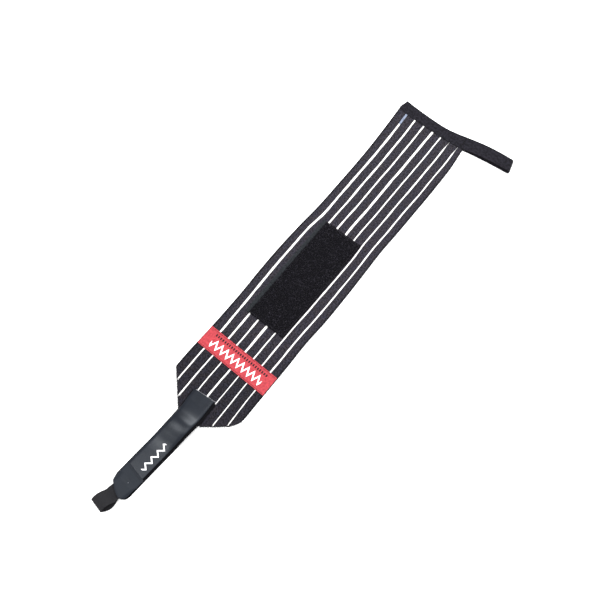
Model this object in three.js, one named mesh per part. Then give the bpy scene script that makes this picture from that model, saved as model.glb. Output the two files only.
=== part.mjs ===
// Wrist wrap of ribbed elastic, laid flat: millimetres, +X from the pull loop to the thumb loop, +Z up.
// The origin is the middle of the whole part, on the ground it lies on.

import * as THREE from 'three';
import { mergeVertices } from 'three/addons/utils/BufferGeometryUtils.js';

// Clearance between pieces that lie on each other
const CLEARANCE = 0.3;

// Band
const BAND_LENGTH = 388;
const BAND_WIDTH = 80;
const BAND_THICKNESS = 1.8;
const RIB_COUNT = 8;
const GROOVE_WIDTH = 2.4;
const GROOVE_DEPTH = 0.4;
const TAPER_LENGTH = 30;
const WAVE_HEIGHT = 2.4;
const BAND_COLUMN = 12.5;

// Label: its gap is counted from the strap's sewn end
const LABEL_GAP = 34;
const LABEL_WIDTH = 21;
const LABEL_THICKNESS = 1;
const LABEL_MARGIN = 0.6;
const LABEL_SLANT = 1.5;

// Loop patch: its gap is counted from the label
const PATCH_GAP = 32.5;
const PATCH_LENGTH = 121;
const PATCH_WIDTH = 42.5;
const PATCH_OFFSET = 0.3;
const PATCH_THICKNESS = 2;
const SELVEDGE_WIDTH = 3.4;
const SELVEDGE_THICKNESS = 1;

// Closing strap
const STRAP_OVERLAP = 24;
const STRAP_LENGTH = 90;
const STRAP_WIDTH = 24.5;
const STRAP_THICKNESS = 1.2;
const STRAP_HUMP = 4.2;
const STRAP_ROOT_SLANT = 2;
const HOOK_THICKNESS = 1.3;
const HOOK_MARGIN = 1;
const HOOK_INSET = 1;

// Strap end pad
const PAD_LENGTH = 27;
const PAD_THICKNESS = 1.2;
const PAD_SLANT = 4;
const PAD_GATHER = 3.2;

// Pull loop
const PULL_WIDTH = 14;
const PULL_THICKNESS = 1;
const PULL_REACH = 18;
const PULL_HEIGHT = 11.5;
const PULL_TONGUE = 12;
const PULL_ANGLE = 12;
const PULL_OFFSET = 0.3;
const PULL_START = 3;
const PULL_PLACE = 0.42;

// Thumb loop tape
const TAPE_WIDTH = 14;
const TAPE_THICKNESS = 1;
const TAPE_HOLD = 8;
const TAPE_OVERHANG = 0.5;
const TAPE_CORNER = 2.5;
const THUMB_LENGTH = 50;
const THUMB_OPENING = 4.7;
const THUMB_SLANT = 3.6;
const TAPE_RAMP = 24;

// Plan of the band. at: share of its length from the tip. The other columns are the places across of its near
// edge, its first, middle and last groove and its far edge, as shares of half its width.
const BAND_PLAN = [
  { at: 0.00, nearEdge: -1.047, firstGroove: -0.845, midGroove: -0.033, lastGroove: 0.765, farEdge: 1.000 },
  { at: 0.12, nearEdge: -1.032, firstGroove: -0.805, midGroove: -0.026, lastGroove: 0.780, farEdge: 1.015 },
  { at: 0.23, nearEdge: -1.031, firstGroove: -0.801, midGroove: -0.030, lastGroove: 0.749, farEdge: 0.996 },
  { at: 0.31, nearEdge: -1.020, firstGroove: -0.800, midGroove: -0.028, lastGroove: 0.765, farEdge: 0.998 },
  { at: 0.39, nearEdge: -1.047, firstGroove: -0.816, midGroove: -0.031, lastGroove: 0.784, farEdge: 1.015 },
  { at: 0.47, nearEdge: -1.040, firstGroove: -0.818, midGroove: -0.065, lastGroove: 0.793, farEdge: 1.020 },
  { at: 0.56, nearEdge: -1.019, firstGroove: -0.811, midGroove: -0.075, lastGroove: 0.786, farEdge: 1.006 },
  { at: 0.61, nearEdge: -1.004, firstGroove: -0.794, midGroove: -0.035, lastGroove: 0.740, farEdge: 0.978 },
  { at: 0.69, nearEdge: -1.011, firstGroove: -0.796, midGroove: -0.044, lastGroove: 0.735, farEdge: 0.964 },
  { at: 0.77, nearEdge: -1.015, firstGroove: -0.801, midGroove: -0.038, lastGroove: 0.733, farEdge: 0.959 },
  { at: 0.85, nearEdge: -1.018, firstGroove: -0.808, midGroove: -0.039, lastGroove: 0.744, farEdge: 0.988 },
  { at: 0.92, nearEdge: -0.999, firstGroove: -0.806, midGroove: -0.030, lastGroove: 0.771, farEdge: 1.026 },
  { at: 1.00, nearEdge: -0.915, firstGroove: -0.785, midGroove: -0.035, lastGroove: 0.805, farEdge: 1.071 },
];

// Lay of the band. at: share of its length from the tip. far, middle and near: lift of its two sides and its
// middle, as shares of the wave height. Below 0 it lies flat.
const BAND_LAY = [
  { at: 0.00, far: 0.1, middle: -0.6, near: 0.2 },
  { at: 0.12, far: 0.3, middle: -0.5, near: -0.2 },
  { at: 0.23, far: -0.4, middle: -0.5, near: -0.3 },
  { at: 0.31, far: -0.2, middle: -0.4, near: 0.4 },
  { at: 0.39, far: 0.5, middle: -0.3, near: 0.1 },
  { at: 0.47, far: 0.7, middle: -0.1, near: -0.3 },
  { at: 0.54, far: 0.2, middle: -0.3, near: 0.3 },
  { at: 0.61, far: -0.3, middle: -0.2, near: 0.7 },
  { at: 0.69, far: 0.3, middle: -0.5, near: 0.1 },
  { at: 0.77, far: 0.6, middle: 0.1, near: -0.4 },
  { at: 0.85, far: -0.1, middle: -0.2, near: 0.5 },
  { at: 0.92, far: -0.2, middle: -0.3, near: 0.2 },
  { at: 1.00, far: -0.4, middle: -0.5, near: -0.4 },
];

// Cut of the tapered end. across: share of half the band's width, below 0 on the near side. reach: how far
// the cut has run there, as a share of the taper's length.
const TAPER_CUT = [
  { across: -1.000, reach: 1.08 },
  { across: -0.985, reach: 0.88 },
  { across: -0.900, reach: 0.68 },
  { across: -0.800, reach: 0.53 },
  { across: -0.545, reach: 0.24 },
  { across: -0.320, reach: 0.00 },
  { across: 0.330, reach: 0.00 },
  { across: 1.000, reach: 0.98 },
];

// Section of one rib. across: share of half its width. height: share of the groove's depth.
const RIB_SECTION = [
  { across: -1.00, height: 0.0 },
  { across: -0.84, height: 0.8 },
  { across: 0.00, height: 1.0 },
  { across: 0.84, height: 0.8 },
  { across: 1.00, height: 0.0 },
];

// Section of the patch. from: share of its width from the near side. thickness: share of its thickness.
const PATCH_SECTION = [
  { from: 0.00, thickness: 0.72 },
  { from: 0.05, thickness: 0.95 },
  { from: 0.35, thickness: 1.00 },
  { from: 0.65, thickness: 1.00 },
  { from: 0.95, thickness: 0.95 },
  { from: 1.00, thickness: 0.72 },
];

// Lay of the strap. at: share of its length from the sewn end. drift: sideways shift, and width: width, both
// as shares of its width. hump: height above what it lies on, as a share of the hump's height.
const STRAP_LAY = [
  { at: 0.00, drift: 0.014, width: 0.980, hump: 0.00 },
  { at: 0.12, drift: -0.004, width: 0.975, hump: 0.00 },
  { at: 0.24, drift: -0.038, width: 0.950, hump: 0.28 },
  { at: 0.34, drift: -0.042, width: 0.920, hump: 0.92 },
  { at: 0.42, drift: -0.026, width: 0.905, hump: 1.00 },
  { at: 0.52, drift: 0.012, width: 0.900, hump: 0.62 },
  { at: 0.63, drift: 0.054, width: 0.900, hump: 0.16 },
  { at: 0.74, drift: 0.090, width: 0.905, hump: 0.00 },
  { at: 0.87, drift: 0.126, width: 0.905, hump: 0.00 },
  { at: 1.00, drift: 0.158, width: 0.905, hump: 0.00 },
];

// End of the pad. from: share of its width from the far side. reach: share of its length.
const PAD_END = [
  { from: 0.00, reach: 0.45 },
  { from: 0.05, reach: 0.62 },
  { from: 0.17, reach: 0.73 },
  { from: 0.70, reach: 0.99 },
  { from: 0.81, reach: 1.00 },
  { from: 0.92, reach: 0.96 },
  { from: 0.98, reach: 0.87 },
  { from: 1.00, reach: 0.76 },
];

// Path of the pull loop's webbing outside the pad. out: share of its reach. rise: share of its height.
const PULL_PATH = [
  { out: 0.16, rise: 0.11 },
  { out: 0.34, rise: 0.01 },
  { out: 0.62, rise: 0.00 },
  { out: 0.85, rise: 0.12 },
  { out: 0.98, rise: 0.37 },
  { out: 0.98, rise: 0.66 },
  { out: 0.85, rise: 0.92 },
  { out: 0.63, rise: 1.00 },
  { out: 0.38, rise: 0.82 },
  { out: 0.17, rise: 0.48 },
];

// Plan of the thumb loop tape. at: share of its whole run from the far side. edge: shift of its inner edge,
// and width: width, both as shares of its width. rise: how far the upper layer has opened, as a share of the
// opening.
const TAPE_PLAN = [
  { at: 0.00, edge: 0.15, width: 0.82, rise: 0.0 },
  { at: 0.09, edge: 0.02, width: 0.87, rise: 0.0 },
  { at: 0.25, edge: 0.00, width: 0.82, rise: 0.0 },
  { at: 0.42, edge: -0.01, width: 0.86, rise: 0.0 },
  { at: 0.52, edge: 0.04, width: 0.98, rise: 0.0 },
  { at: 0.60, edge: 0.16, width: 1.04, rise: 0.0 },
  { at: 0.67, edge: 0.29, width: 1.03, rise: 0.3 },
  { at: 0.76, edge: 0.42, width: 1.01, rise: 0.8 },
  { at: 0.85, edge: 0.53, width: 0.99, rise: 1.0 },
  { at: 1.00, edge: 0.67, width: 0.95, rise: 1.0 },
];

// Small helpers

function column(table, key, at) {
  const places = table.map((row) => row[at]);
  const values = table.map((row) => row[key]);
  const curve = new THREE.CubicInterpolant(places, values, 1);
  return (share) => curve.evaluate(THREE.MathUtils.clamp(share, 0, 1))[0];
}

function steps(from, to, count) {
  return Array.from({ length: count + 1 }, (_, index) => THREE.MathUtils.lerp(from, to, index / count));
}

function stepsOfLength(from, to, length) {
  return steps(from, to, Math.max(1, Math.round(Math.abs(to - from) / length)));
}

function straightColumn(table, key, at) {
  const curve = new THREE.LinearInterpolant(table.map((row) => row[at]), table.map((row) => row[key]), 1);
  return (share) => curve.evaluate(share)[0];
}

const ease = THREE.MathUtils.smoothstep;

// One closed sheet: a box cut into columns along X and rows along Y, then laid where place puts each corner
function sheet(columns, rows, place) {
  const box = new THREE.BoxGeometry(1, 1, 1, columns.length - 1, rows.length - 1, 1);
  box.deleteAttribute('normal');
  box.deleteAttribute('uv');
  const cloth = mergeVertices(box);
  const corners = cloth.attributes.position;
  for (let index = 0; index < corners.count; index += 1) {
    const along = columns[Math.round((corners.getX(index) + 0.5) * (columns.length - 1))];
    const across = rows[Math.round((corners.getY(index) + 0.5) * (rows.length - 1))];
    const isTop = corners.getZ(index) > 0;
    const point = place(along, across, isTop);
    corners.setXYZ(index, point.x, point.y, point.z);
  }
  cloth.computeVertexNormals();
  return cloth;
}

function piece(name, geometry, color, roughness) {
  const mesh = new THREE.Mesh(geometry, new THREE.MeshStandardMaterial({ color, roughness, metalness: 0 }));
  mesh.name = name;
  return mesh;
}

// Band: X runs from its tip, Y from its middle, the far side being +Y

const RIB_PITCH = (BAND_WIDTH + GROOVE_WIDTH) / RIB_COUNT;
const RIB_WIDTH = RIB_PITCH - GROOVE_WIDTH;
const HALF_BAND = BAND_WIDTH / 2;
const TAPER_COLUMNS = 4;

const OUTER_GROOVE = (RIB_COUNT / 2 - 1) * RIB_PITCH / HALF_BAND;

const BAND_LINES = [
  { share: -1, place: column(BAND_PLAN, 'nearEdge', 'at') },
  { share: -OUTER_GROOVE, place: column(BAND_PLAN, 'firstGroove', 'at') },
  { share: 0, place: column(BAND_PLAN, 'midGroove', 'at') },
  { share: OUTER_GROOVE, place: column(BAND_PLAN, 'lastGroove', 'at') },
  { share: 1, place: column(BAND_PLAN, 'farEdge', 'at') },
];
const liftFar = column(BAND_LAY, 'far', 'at');
const liftMiddle = column(BAND_LAY, 'middle', 'at');
const liftNear = column(BAND_LAY, 'near', 'at');
const taperReach = straightColumn(TAPER_CUT, 'reach', 'across');

// Y of the line that runs at this share of the half width, -1 on the near side and 1 on the far side
function bandLine(x, share) {
  const lines = BAND_LINES.map((line) => ({ share: line.share, place: line.place(x / BAND_LENGTH) }));
  return straightColumn(lines, 'place', 'share')(share) * HALF_BAND;
}

// Height of the band's underside
function bandFloor(x, y) {
  const at = x / BAND_LENGTH;
  const share = THREE.MathUtils.clamp(y / HALF_BAND, -1, 1);
  const side = share > 0 ? liftFar(at) : liftNear(at);
  const wave = THREE.MathUtils.lerp(liftMiddle(at), side, share * share);
  const tapeStart = BAND_LENGTH - TAPE_HOLD;
  const onTape = ease(x, tapeStart - TAPE_RAMP, tapeStart);
  const lying = Math.max(0, wave) * WAVE_HEIGHT * (1 - onTape);
  return lying + onTape * (TAPE_THICKNESS + CLEARANCE);
}

function bandTop(x, y) {
  return bandFloor(x, y) + BAND_THICKNESS;
}

function band() {
  const lines = [];
  for (let rib = 0; rib < RIB_COUNT; rib += 1) {
    const middle = (rib + 0.5) * RIB_PITCH - (BAND_WIDTH + GROOVE_WIDTH) / 2;
    for (const { across, height } of RIB_SECTION) {
      lines.push({ share: (middle + across * RIB_WIDTH / 2) / HALF_BAND, height });
    }
  }
  const straightStart = TAPER_LENGTH + BAND_COLUMN;
  const tapered = steps(0, 1, TAPER_COLUMNS).slice(0, -1).map((part) => ({ part, x: 0 }));
  const straight = stepsOfLength(straightStart, BAND_LENGTH, BAND_COLUMN).map((x) => ({ part: 1, x }));
  return sheet([...tapered, ...straight], lines, ({ part, x: beyond }, { share, height }, isTop) => {
    const x = part < 1 ? THREE.MathUtils.lerp(taperReach(share) * TAPER_LENGTH, straightStart, part) : beyond;
    const y = bandLine(x, share);
    const floor = bandFloor(x, y);
    const top = floor + BAND_THICKNESS - (1 - height) * GROOVE_DEPTH;
    return { x, y, z: isTop ? top : floor };
  });
}

// Label: across the whole band, on top of the ribs

const LABEL_START = STRAP_OVERLAP + LABEL_GAP;
const LABEL_COLUMNS = 3;
const LABEL_ROWS = 14;

function label() {
  const columns = steps(LABEL_START, LABEL_START + LABEL_WIDTH, LABEL_COLUMNS);
  const reach = 1 - LABEL_MARGIN / HALF_BAND;
  return sheet(columns, steps(-reach, reach, LABEL_ROWS), (straight, share, isTop) => {
    const x = straight + share * LABEL_SLANT / 2;
    const y = bandLine(x, share);
    const z = bandTop(x, y) + CLEARANCE + (isTop ? LABEL_THICKNESS : 0);
    return { x, y, z };
  });
}

// Loop patch: the pile, with the bare selvedge of its tape along the far side

const PATCH_START = LABEL_START + LABEL_WIDTH + PATCH_GAP;

function loopPatch() {
  const nearSide = PATCH_OFFSET - PATCH_WIDTH / 2;
  const rows = PATCH_SECTION.map(({ from, thickness }) => ({
    y: nearSide + from * PATCH_WIDTH,
    height: thickness * PATCH_THICKNESS,
  }));
  const pileEdge = nearSide + PATCH_WIDTH;
  rows.push({ y: pileEdge + CLEARANCE, height: SELVEDGE_THICKNESS });
  rows.push({ y: pileEdge + SELVEDGE_WIDTH, height: SELVEDGE_THICKNESS });
  const columns = stepsOfLength(PATCH_START, PATCH_START + PATCH_LENGTH, BAND_COLUMN);
  return sheet(columns, rows, (x, { y, height }, isTop) => {
    const z = bandTop(x, y) + CLEARANCE + (isTop ? height : 0);
    return { x, y, z };
  });
}

// Strap: it runs towards -X from its sewn end on the band, over the band's tip and down to the ground

const STRAP_COLUMNS = 22;
const STRAP_ROWS = 4;
const HOOK_COLUMNS = 28;
const strapDrift = column(STRAP_LAY, 'drift', 'at');
const strapWidth = column(STRAP_LAY, 'width', 'at');
const strapHump = column(STRAP_LAY, 'hump', 'at');

// How far beyond the band's tip the strap starts to come down, and where it has reached the ground
const STRAP_LANDING = { from: STRAP_OVERLAP * 1.1, to: STRAP_LENGTH * 0.7 };
const STRAP_LAST = STRAP_LAY.at(-2).at;

// The strap's line at a distance from its sewn end, with its width and the height that it lies at
function strapLay(distance) {
  const at = distance / STRAP_LENGTH;
  const x = STRAP_OVERLAP - distance;
  const beyond = Math.max(0, at - 1);
  const slope = (strapDrift(1) - strapDrift(STRAP_LAST)) / (1 - STRAP_LAST);
  const y = (strapDrift(at) + beyond * slope) * STRAP_WIDTH;
  const leaving = ease(distance, STRAP_LANDING.from, STRAP_LANDING.to);
  const floor = (BAND_THICKNESS + CLEARANCE) * (1 - leaving) + Math.max(0, strapHump(at)) * STRAP_HUMP;
  return { x, y, width: strapWidth(at) * STRAP_WIDTH, floor };
}

// A point of the strap: across runs from -0.5 on the far side to 0.5 on the near side
function strapPoint(distance, across, extraWidth, height) {
  const { x, y, width, floor } = strapLay(distance);
  const onBand = x > 0 ? Math.max(0, bandFloor(x, y - across * width)) : bandFloor(0, 0);
  return { x, y: y - across * (width + extraWidth), z: floor + onBand + height };
}

const padReach = column(PAD_END, 'reach', 'from');

function strapTop() {
  const rows = steps(-0.5, 0.5, STRAP_ROWS);
  return sheet(steps(0, 1, STRAP_COLUMNS), rows, (part, across, isTop) => {
    const start = -across * STRAP_ROOT_SLANT;
    const end = STRAP_LENGTH + across * PAD_SLANT - CLEARANCE;
    const distance = THREE.MathUtils.lerp(start, end, part);
    return strapPoint(distance, across, 0, HOOK_THICKNESS + CLEARANCE + (isTop ? STRAP_THICKNESS : 0));
  });
}

function hookTape() {
  const rows = PAD_END.map(({ from }) => from - 0.5);
  return sheet(steps(0, 1, HOOK_COLUMNS), rows, (part, across, isTop) => {
    const start = HOOK_INSET - across * STRAP_ROOT_SLANT;
    const end = STRAP_LENGTH + padReach(across + 0.5) * PAD_LENGTH - HOOK_INSET;
    const distance = THREE.MathUtils.lerp(start, end, part);
    return strapPoint(distance, across, 2 * HOOK_MARGIN, isTop ? HOOK_THICKNESS : 0);
  });
}

// Pull loop: its own line leaves the pad's slanted end at an angle to the strap

const PULL_DIRECTION = THREE.MathUtils.degToRad(180 - PULL_ANGLE);
const PULL_OUT = new THREE.Vector3(Math.cos(PULL_DIRECTION), Math.sin(PULL_DIRECTION), 0);
const PULL_ACROSS = new THREE.Vector3(0, 0, 1).cross(PULL_OUT);
const PULL_STATIONS = 34;
const LOOP_ROWS = 2;
const TONGUE_FLOOR = HOOK_THICKNESS + CLEARANCE;
const TONGUE_TOP = TONGUE_FLOOR + 2 * PULL_THICKNESS + CLEARANCE;

// Where the loop leaves the pad: just outside its slanted end
function pullRoot() {
  const middleReach = padReach(PULL_PLACE) * PAD_LENGTH;
  const { x, y } = strapLay(STRAP_LENGTH + middleReach);
  return new THREE.Vector3(x, y + PULL_OFFSET, 0).addScaledVector(PULL_OUT, PULL_START);
}

const PULL_ROOT = pullRoot();

function pullPath() {
  const half = PULL_THICKNESS / 2;
  const points = [
    new THREE.Vector3(-PULL_TONGUE, 0, TONGUE_FLOOR + half),
    new THREE.Vector3(0, 0, TONGUE_FLOOR + half),
    ...PULL_PATH.map(({ out, rise }) => (
      new THREE.Vector3(out * (PULL_REACH - half), 0, half + rise * (PULL_HEIGHT - PULL_THICKNESS))
    )),
    new THREE.Vector3(0, 0, TONGUE_TOP - half),
    new THREE.Vector3(-PULL_TONGUE, 0, TONGUE_TOP - half),
  ];
  return new THREE.CatmullRomCurve3(points, false, 'centripetal');
}

function pullLoop() {
  const path = pullPath();
  const stations = steps(0, 1, PULL_STATIONS).map((at) => ({
    point: path.getPointAt(at),
    way: path.getTangentAt(at),
  }));
  const rows = steps(-PULL_WIDTH / 2, PULL_WIDTH / 2, LOOP_ROWS);
  return sheet(stations, rows, ({ point, way }, across, isTop) => {
    const side = isTop ? PULL_THICKNESS / 2 : -PULL_THICKNESS / 2;
    const out = point.x - way.z * side;
    const height = Math.max(0, point.z + way.x * side);
    const place = PULL_ROOT.clone().addScaledVector(PULL_OUT, out).addScaledVector(PULL_ACROSS, across);
    return { x: place.x, y: place.y, z: height };
  });
}

// Strap end pad: it lies on the hook tape and drapes over the tongue of the pull loop

const PAD_COLUMNS = 12;
const PAD_DRAPE = { from: PAD_GATHER * 0.6, to: PAD_GATHER * 1.6 };
const WIDE_ROW = 0.2;

// 1 over the tongue, 0 where the pad lies on the hook tape again
function tongueCover(x, y) {
  const place = new THREE.Vector3(x, y, 0).sub(PULL_ROOT);
  const aside = Math.abs(place.dot(PULL_ACROSS)) - PULL_WIDTH / 2;
  const before = -place.dot(PULL_OUT) - PULL_TONGUE;
  const away = Math.max(aside, before, 0);
  return 1 - ease(away, PAD_DRAPE.from, PAD_DRAPE.to);
}

function strapEndPad() {
  const rows = [];
  PAD_END.forEach(({ from }, index) => {
    const next = PAD_END[index + 1];
    rows.push(from);
    if (next && next.from - from > WIDE_ROW) {
      rows.push(...stepsOfLength(from, next.from, WIDE_ROW / 2).slice(1, -1));
    }
  });
  return sheet(steps(0, 1, PAD_COLUMNS), rows, (part, from, isTop) => {
    const across = from - 0.5;
    const start = STRAP_LENGTH + across * PAD_SLANT;
    const end = STRAP_LENGTH + padReach(from) * PAD_LENGTH;
    const distance = THREE.MathUtils.lerp(start, end, part);
    const point = strapPoint(distance, across, 0, 0);
    const raised = (TONGUE_TOP - TONGUE_FLOOR + CLEARANCE) * tongueCover(point.x, point.y);
    point.z += TONGUE_FLOOR + raised + (isTop ? PAD_THICKNESS : 0);
    return point;
  });
}

// Thumb loop tape: the lower layer lies on the ground, folds over at the near end and comes back on top

const TAPE_EDGE = BAND_LENGTH - TAPE_HOLD;
const TAPE_START = bandLine(TAPE_EDGE, 1) + TAPE_OVERHANG;
const TAPE_RUN = TAPE_START - bandLine(TAPE_EDGE, -1) + THUMB_LENGTH;
const FOLD_STEPS = 8;
const UPPER_STEP = BAND_COLUMN * 0.6;
const tapeEdge = column(TAPE_PLAN, 'edge', 'at');
const tapeWidth = column(TAPE_PLAN, 'width', 'at');
const tapeRise = column(TAPE_PLAN, 'rise', 'at');

function tapePath() {
  const half = TAPE_THICKNESS / 2;
  const closed = BAND_THICKNESS + 2 * CLEARANCE;
  const layerAt = (out) => {
    const opened = THREE.MathUtils.clamp(tapeRise(out / TAPE_RUN), 0, 1);
    return TAPE_THICKNESS + half + THREE.MathUtils.lerp(closed, THUMB_OPENING, opened);
  };
  const radius = (THUMB_OPENING + TAPE_THICKNESS) / 2;
  const bend = TAPE_RUN - radius - half;
  const lower = stepsOfLength(0, bend, BAND_COLUMN).map((out) => new THREE.Vector2(out, half));
  const fold = steps(-90, 90, FOLD_STEPS).slice(1, -1).map((degrees) => {
    const angle = THREE.MathUtils.degToRad(degrees);
    return new THREE.Vector2(bend + radius * Math.cos(angle), half + radius + radius * Math.sin(angle));
  });
  const upper = stepsOfLength(bend, 0, UPPER_STEP).map((out) => new THREE.Vector2(out, layerAt(out)));
  return [...lower, ...fold, ...upper];
}

function thumbLoopTape() {
  const path = tapePath();
  const stations = path.map((point, index) => {
    const before = path[Math.max(0, index - 1)];
    const after = path[Math.min(path.length - 1, index + 1)];
    return { point, way: after.clone().sub(before).normalize() };
  });
  return sheet(stations, steps(-0.5, 0.5, LOOP_ROWS), ({ point, way }, across, isTop) => {
    const side = isTop ? TAPE_THICKNESS / 2 : -TAPE_THICKNESS / 2;
    const straightOut = point.x - way.y * side;
    const cornerCut = (across + 0.5) * TAPE_CORNER;
    const start = cornerCut * (1 - straightOut / TAPE_RUN);
    const out = straightOut * (1 - across * THUMB_SLANT / TAPE_RUN) + start;
    const at = out / TAPE_RUN;
    const x = TAPE_EDGE + (tapeEdge(at) + (across + 0.5) * tapeWidth(at)) * TAPE_WIDTH;
    return { x, y: TAPE_START - out, z: point.y + way.x * side };
  });
}

// Assembly

const wrap = new THREE.Group();
wrap.add(piece('band', band(), 0x38363d, 0.9));
wrap.add(piece('label', label(), 0xe0404a, 0.7));
wrap.add(piece('loop_patch', loopPatch(), 0x17161b, 1));
wrap.add(piece('strap_top', strapTop(), 0x3d414b, 0.45));
wrap.add(piece('hook_tape', hookTape(), 0x0d0d10, 0.8));
wrap.add(piece('strap_end_pad', strapEndPad(), 0x373c43, 0.65));
wrap.add(piece('pull_loop', pullLoop(), 0x353436, 0.85));
wrap.add(piece('thumb_loop_tape', thumbLoopTape(), 0x2b2931, 0.85));

const extent = new THREE.Box3().setFromObject(wrap);
const middle = extent.getCenter(new THREE.Vector3());
wrap.position.set(-middle.x, -middle.y, -extent.min.z);
wrap.updateMatrixWorld(true);

export default wrap;
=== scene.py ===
"""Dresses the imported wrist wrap: woven elastic, label, pile patch, closing strap and both loops."""

import math
import random
from bisect import bisect_right

import bmesh
import bpy
import numpy as np
from mathutils import Matrix, Vector, noise


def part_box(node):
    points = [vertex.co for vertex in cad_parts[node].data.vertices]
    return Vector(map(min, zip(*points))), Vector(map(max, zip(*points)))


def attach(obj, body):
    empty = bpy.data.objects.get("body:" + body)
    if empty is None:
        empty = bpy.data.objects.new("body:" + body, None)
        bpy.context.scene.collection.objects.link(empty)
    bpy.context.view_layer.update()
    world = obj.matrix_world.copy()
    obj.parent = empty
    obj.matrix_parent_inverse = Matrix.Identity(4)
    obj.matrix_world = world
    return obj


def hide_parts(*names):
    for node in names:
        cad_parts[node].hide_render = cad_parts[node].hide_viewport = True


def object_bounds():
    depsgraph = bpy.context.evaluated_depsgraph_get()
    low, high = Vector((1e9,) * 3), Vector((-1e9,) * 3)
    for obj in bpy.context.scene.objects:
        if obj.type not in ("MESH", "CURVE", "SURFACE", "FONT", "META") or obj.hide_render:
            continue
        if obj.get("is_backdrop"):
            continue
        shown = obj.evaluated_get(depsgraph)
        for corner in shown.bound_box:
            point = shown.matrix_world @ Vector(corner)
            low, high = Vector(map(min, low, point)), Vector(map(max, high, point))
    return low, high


bl_info = {
    "name": "Wrist wrap",
    "version": (1, 0, 0),
    "blender": (4, 5, 0),
    "location": "3D View > Sidebar > Wrist wrap",
    "description": "Builds the looks of a wrist wrap round its packed frame",
    "category": "Object",
}

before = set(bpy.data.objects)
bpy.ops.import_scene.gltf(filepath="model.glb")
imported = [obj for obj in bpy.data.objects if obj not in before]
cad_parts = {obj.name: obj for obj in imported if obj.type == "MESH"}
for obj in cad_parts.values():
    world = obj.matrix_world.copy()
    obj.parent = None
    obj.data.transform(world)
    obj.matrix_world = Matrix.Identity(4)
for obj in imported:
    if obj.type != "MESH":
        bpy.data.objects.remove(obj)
CAD_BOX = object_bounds()
MM = 0.001

# Sizes in millimetres that follow the frame
# X runs from the band's tip, Y from the band's middle, Z from the ground
PATCH_WIDTH = 42.5
PATCH_OFFSET = 0.3
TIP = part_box("band")[0]
PATCH_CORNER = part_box("loop_patch")[0]
ORIGIN = Vector((TIP.x, PATCH_CORNER.y + (PATCH_WIDTH / 2 - PATCH_OFFSET) * MM, 0))
BAND_LENGTH = (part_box("band")[1].x - TIP.x) / MM
PATCH_START = (PATCH_CORNER.x - TIP.x) / MM
PATCH_LENGTH = (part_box("loop_patch")[1].x - PATCH_CORNER.x) / MM
CLEARANCE = 0.3
BAND_WIDTH = 80
HALF_BAND = BAND_WIDTH / 2
BAND_THICKNESS = 1.8
RIB_COUNT = 8
GROOVE_WIDTH = 2.4
GROOVE_DEPTH = 0.4
RIB_PITCH = (BAND_WIDTH + GROOVE_WIDTH) / RIB_COUNT
TAPER_LENGTH = 30
WAVE_HEIGHT = 2.4
STRAP_OVERLAP = 24
LABEL_GAP = 34
LABEL_START = STRAP_OVERLAP + LABEL_GAP
LABEL_WIDTH = 21
LABEL_SLANT = 1.5
LABEL_MARGIN = 0.6
SELVEDGE_WIDTH = 3.4
STRAP_LENGTH = 90
STRAP_WIDTH = 24.5
STRAP_THICKNESS = 1.2
STRAP_HUMP = 4.2
STRAP_ROOT_SLANT = 2
HOOK_THICKNESS = 1.3
HOOK_MARGIN = 1
HOOK_INSET = 1
PAD_LENGTH = 27
PAD_THICKNESS = 1.2
PAD_SLANT = 4
PAD_GATHER = 3.2
PULL_WIDTH = 14
PULL_THICKNESS = 1
PULL_REACH = 18
PULL_HEIGHT = 11.5
PULL_TONGUE = 12
PULL_ANGLE = 12
PULL_OFFSET = 0.3
PULL_START = 3
PULL_PLACE = 0.42
TAPE_WIDTH = 14
TAPE_THICKNESS = 1
TAPE_HOLD = 8
TAPE_OVERHANG = 0.5
TAPE_CORNER = 2.5
TAPE_RAMP = 24
THUMB_LENGTH = 50
THUMB_OPENING = 4.7
THUMB_SLANT = 3.6
TAPE_EDGE = BAND_LENGTH - TAPE_HOLD

# Plan of the band. at: share of its length. The other columns are the places across of its edges and of
# three of its grooves, as shares of half its width
BAND_PLAN = {
    "at": (0.00, 0.12, 0.23, 0.31, 0.39, 0.47, 0.56, 0.61, 0.69, 0.77, 0.85, 0.92, 1.00),
    "near_edge": (
        -1.047, -1.032, -1.031, -1.020, -1.047, -1.040, -1.019,
        -1.004, -1.011, -1.015, -1.018, -0.999, -0.915,
    ),
    "first_groove": (
        -0.845, -0.805, -0.801, -0.800, -0.816, -0.818, -0.811,
        -0.794, -0.796, -0.801, -0.808, -0.806, -0.785,
    ),
    "mid_groove": (
        -0.033, -0.026, -0.030, -0.028, -0.031, -0.065, -0.075,
        -0.035, -0.044, -0.038, -0.039, -0.030, -0.035,
    ),
    "last_groove": (
        0.765, 0.780, 0.749, 0.765, 0.784, 0.793, 0.786,
        0.740, 0.735, 0.733, 0.744, 0.771, 0.805,
    ),
    "far_edge": (
        1.000, 1.015, 0.996, 0.998, 1.015, 1.020, 1.006,
        0.978, 0.964, 0.959, 0.988, 1.026, 1.071,
    ),
}

# Lay of the band. at: share of its length. far, middle and near: lift of its sides and middle, as shares of
# the wave height
BAND_LAY = {
    "at": (0.00, 0.12, 0.23, 0.31, 0.39, 0.47, 0.54, 0.61, 0.69, 0.77, 0.85, 0.92, 1.00),
    "far": (0.1, 0.3, -0.4, -0.2, 0.5, 0.7, 0.2, -0.3, 0.3, 0.6, -0.1, -0.2, -0.4),
    "middle": (-0.6, -0.5, -0.5, -0.4, -0.3, -0.1, -0.3, -0.2, -0.5, 0.1, -0.2, -0.3, -0.5),
    "near": (0.2, -0.2, -0.3, 0.4, 0.1, -0.3, 0.3, 0.7, 0.1, -0.4, 0.5, 0.2, -0.4),
}

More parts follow.
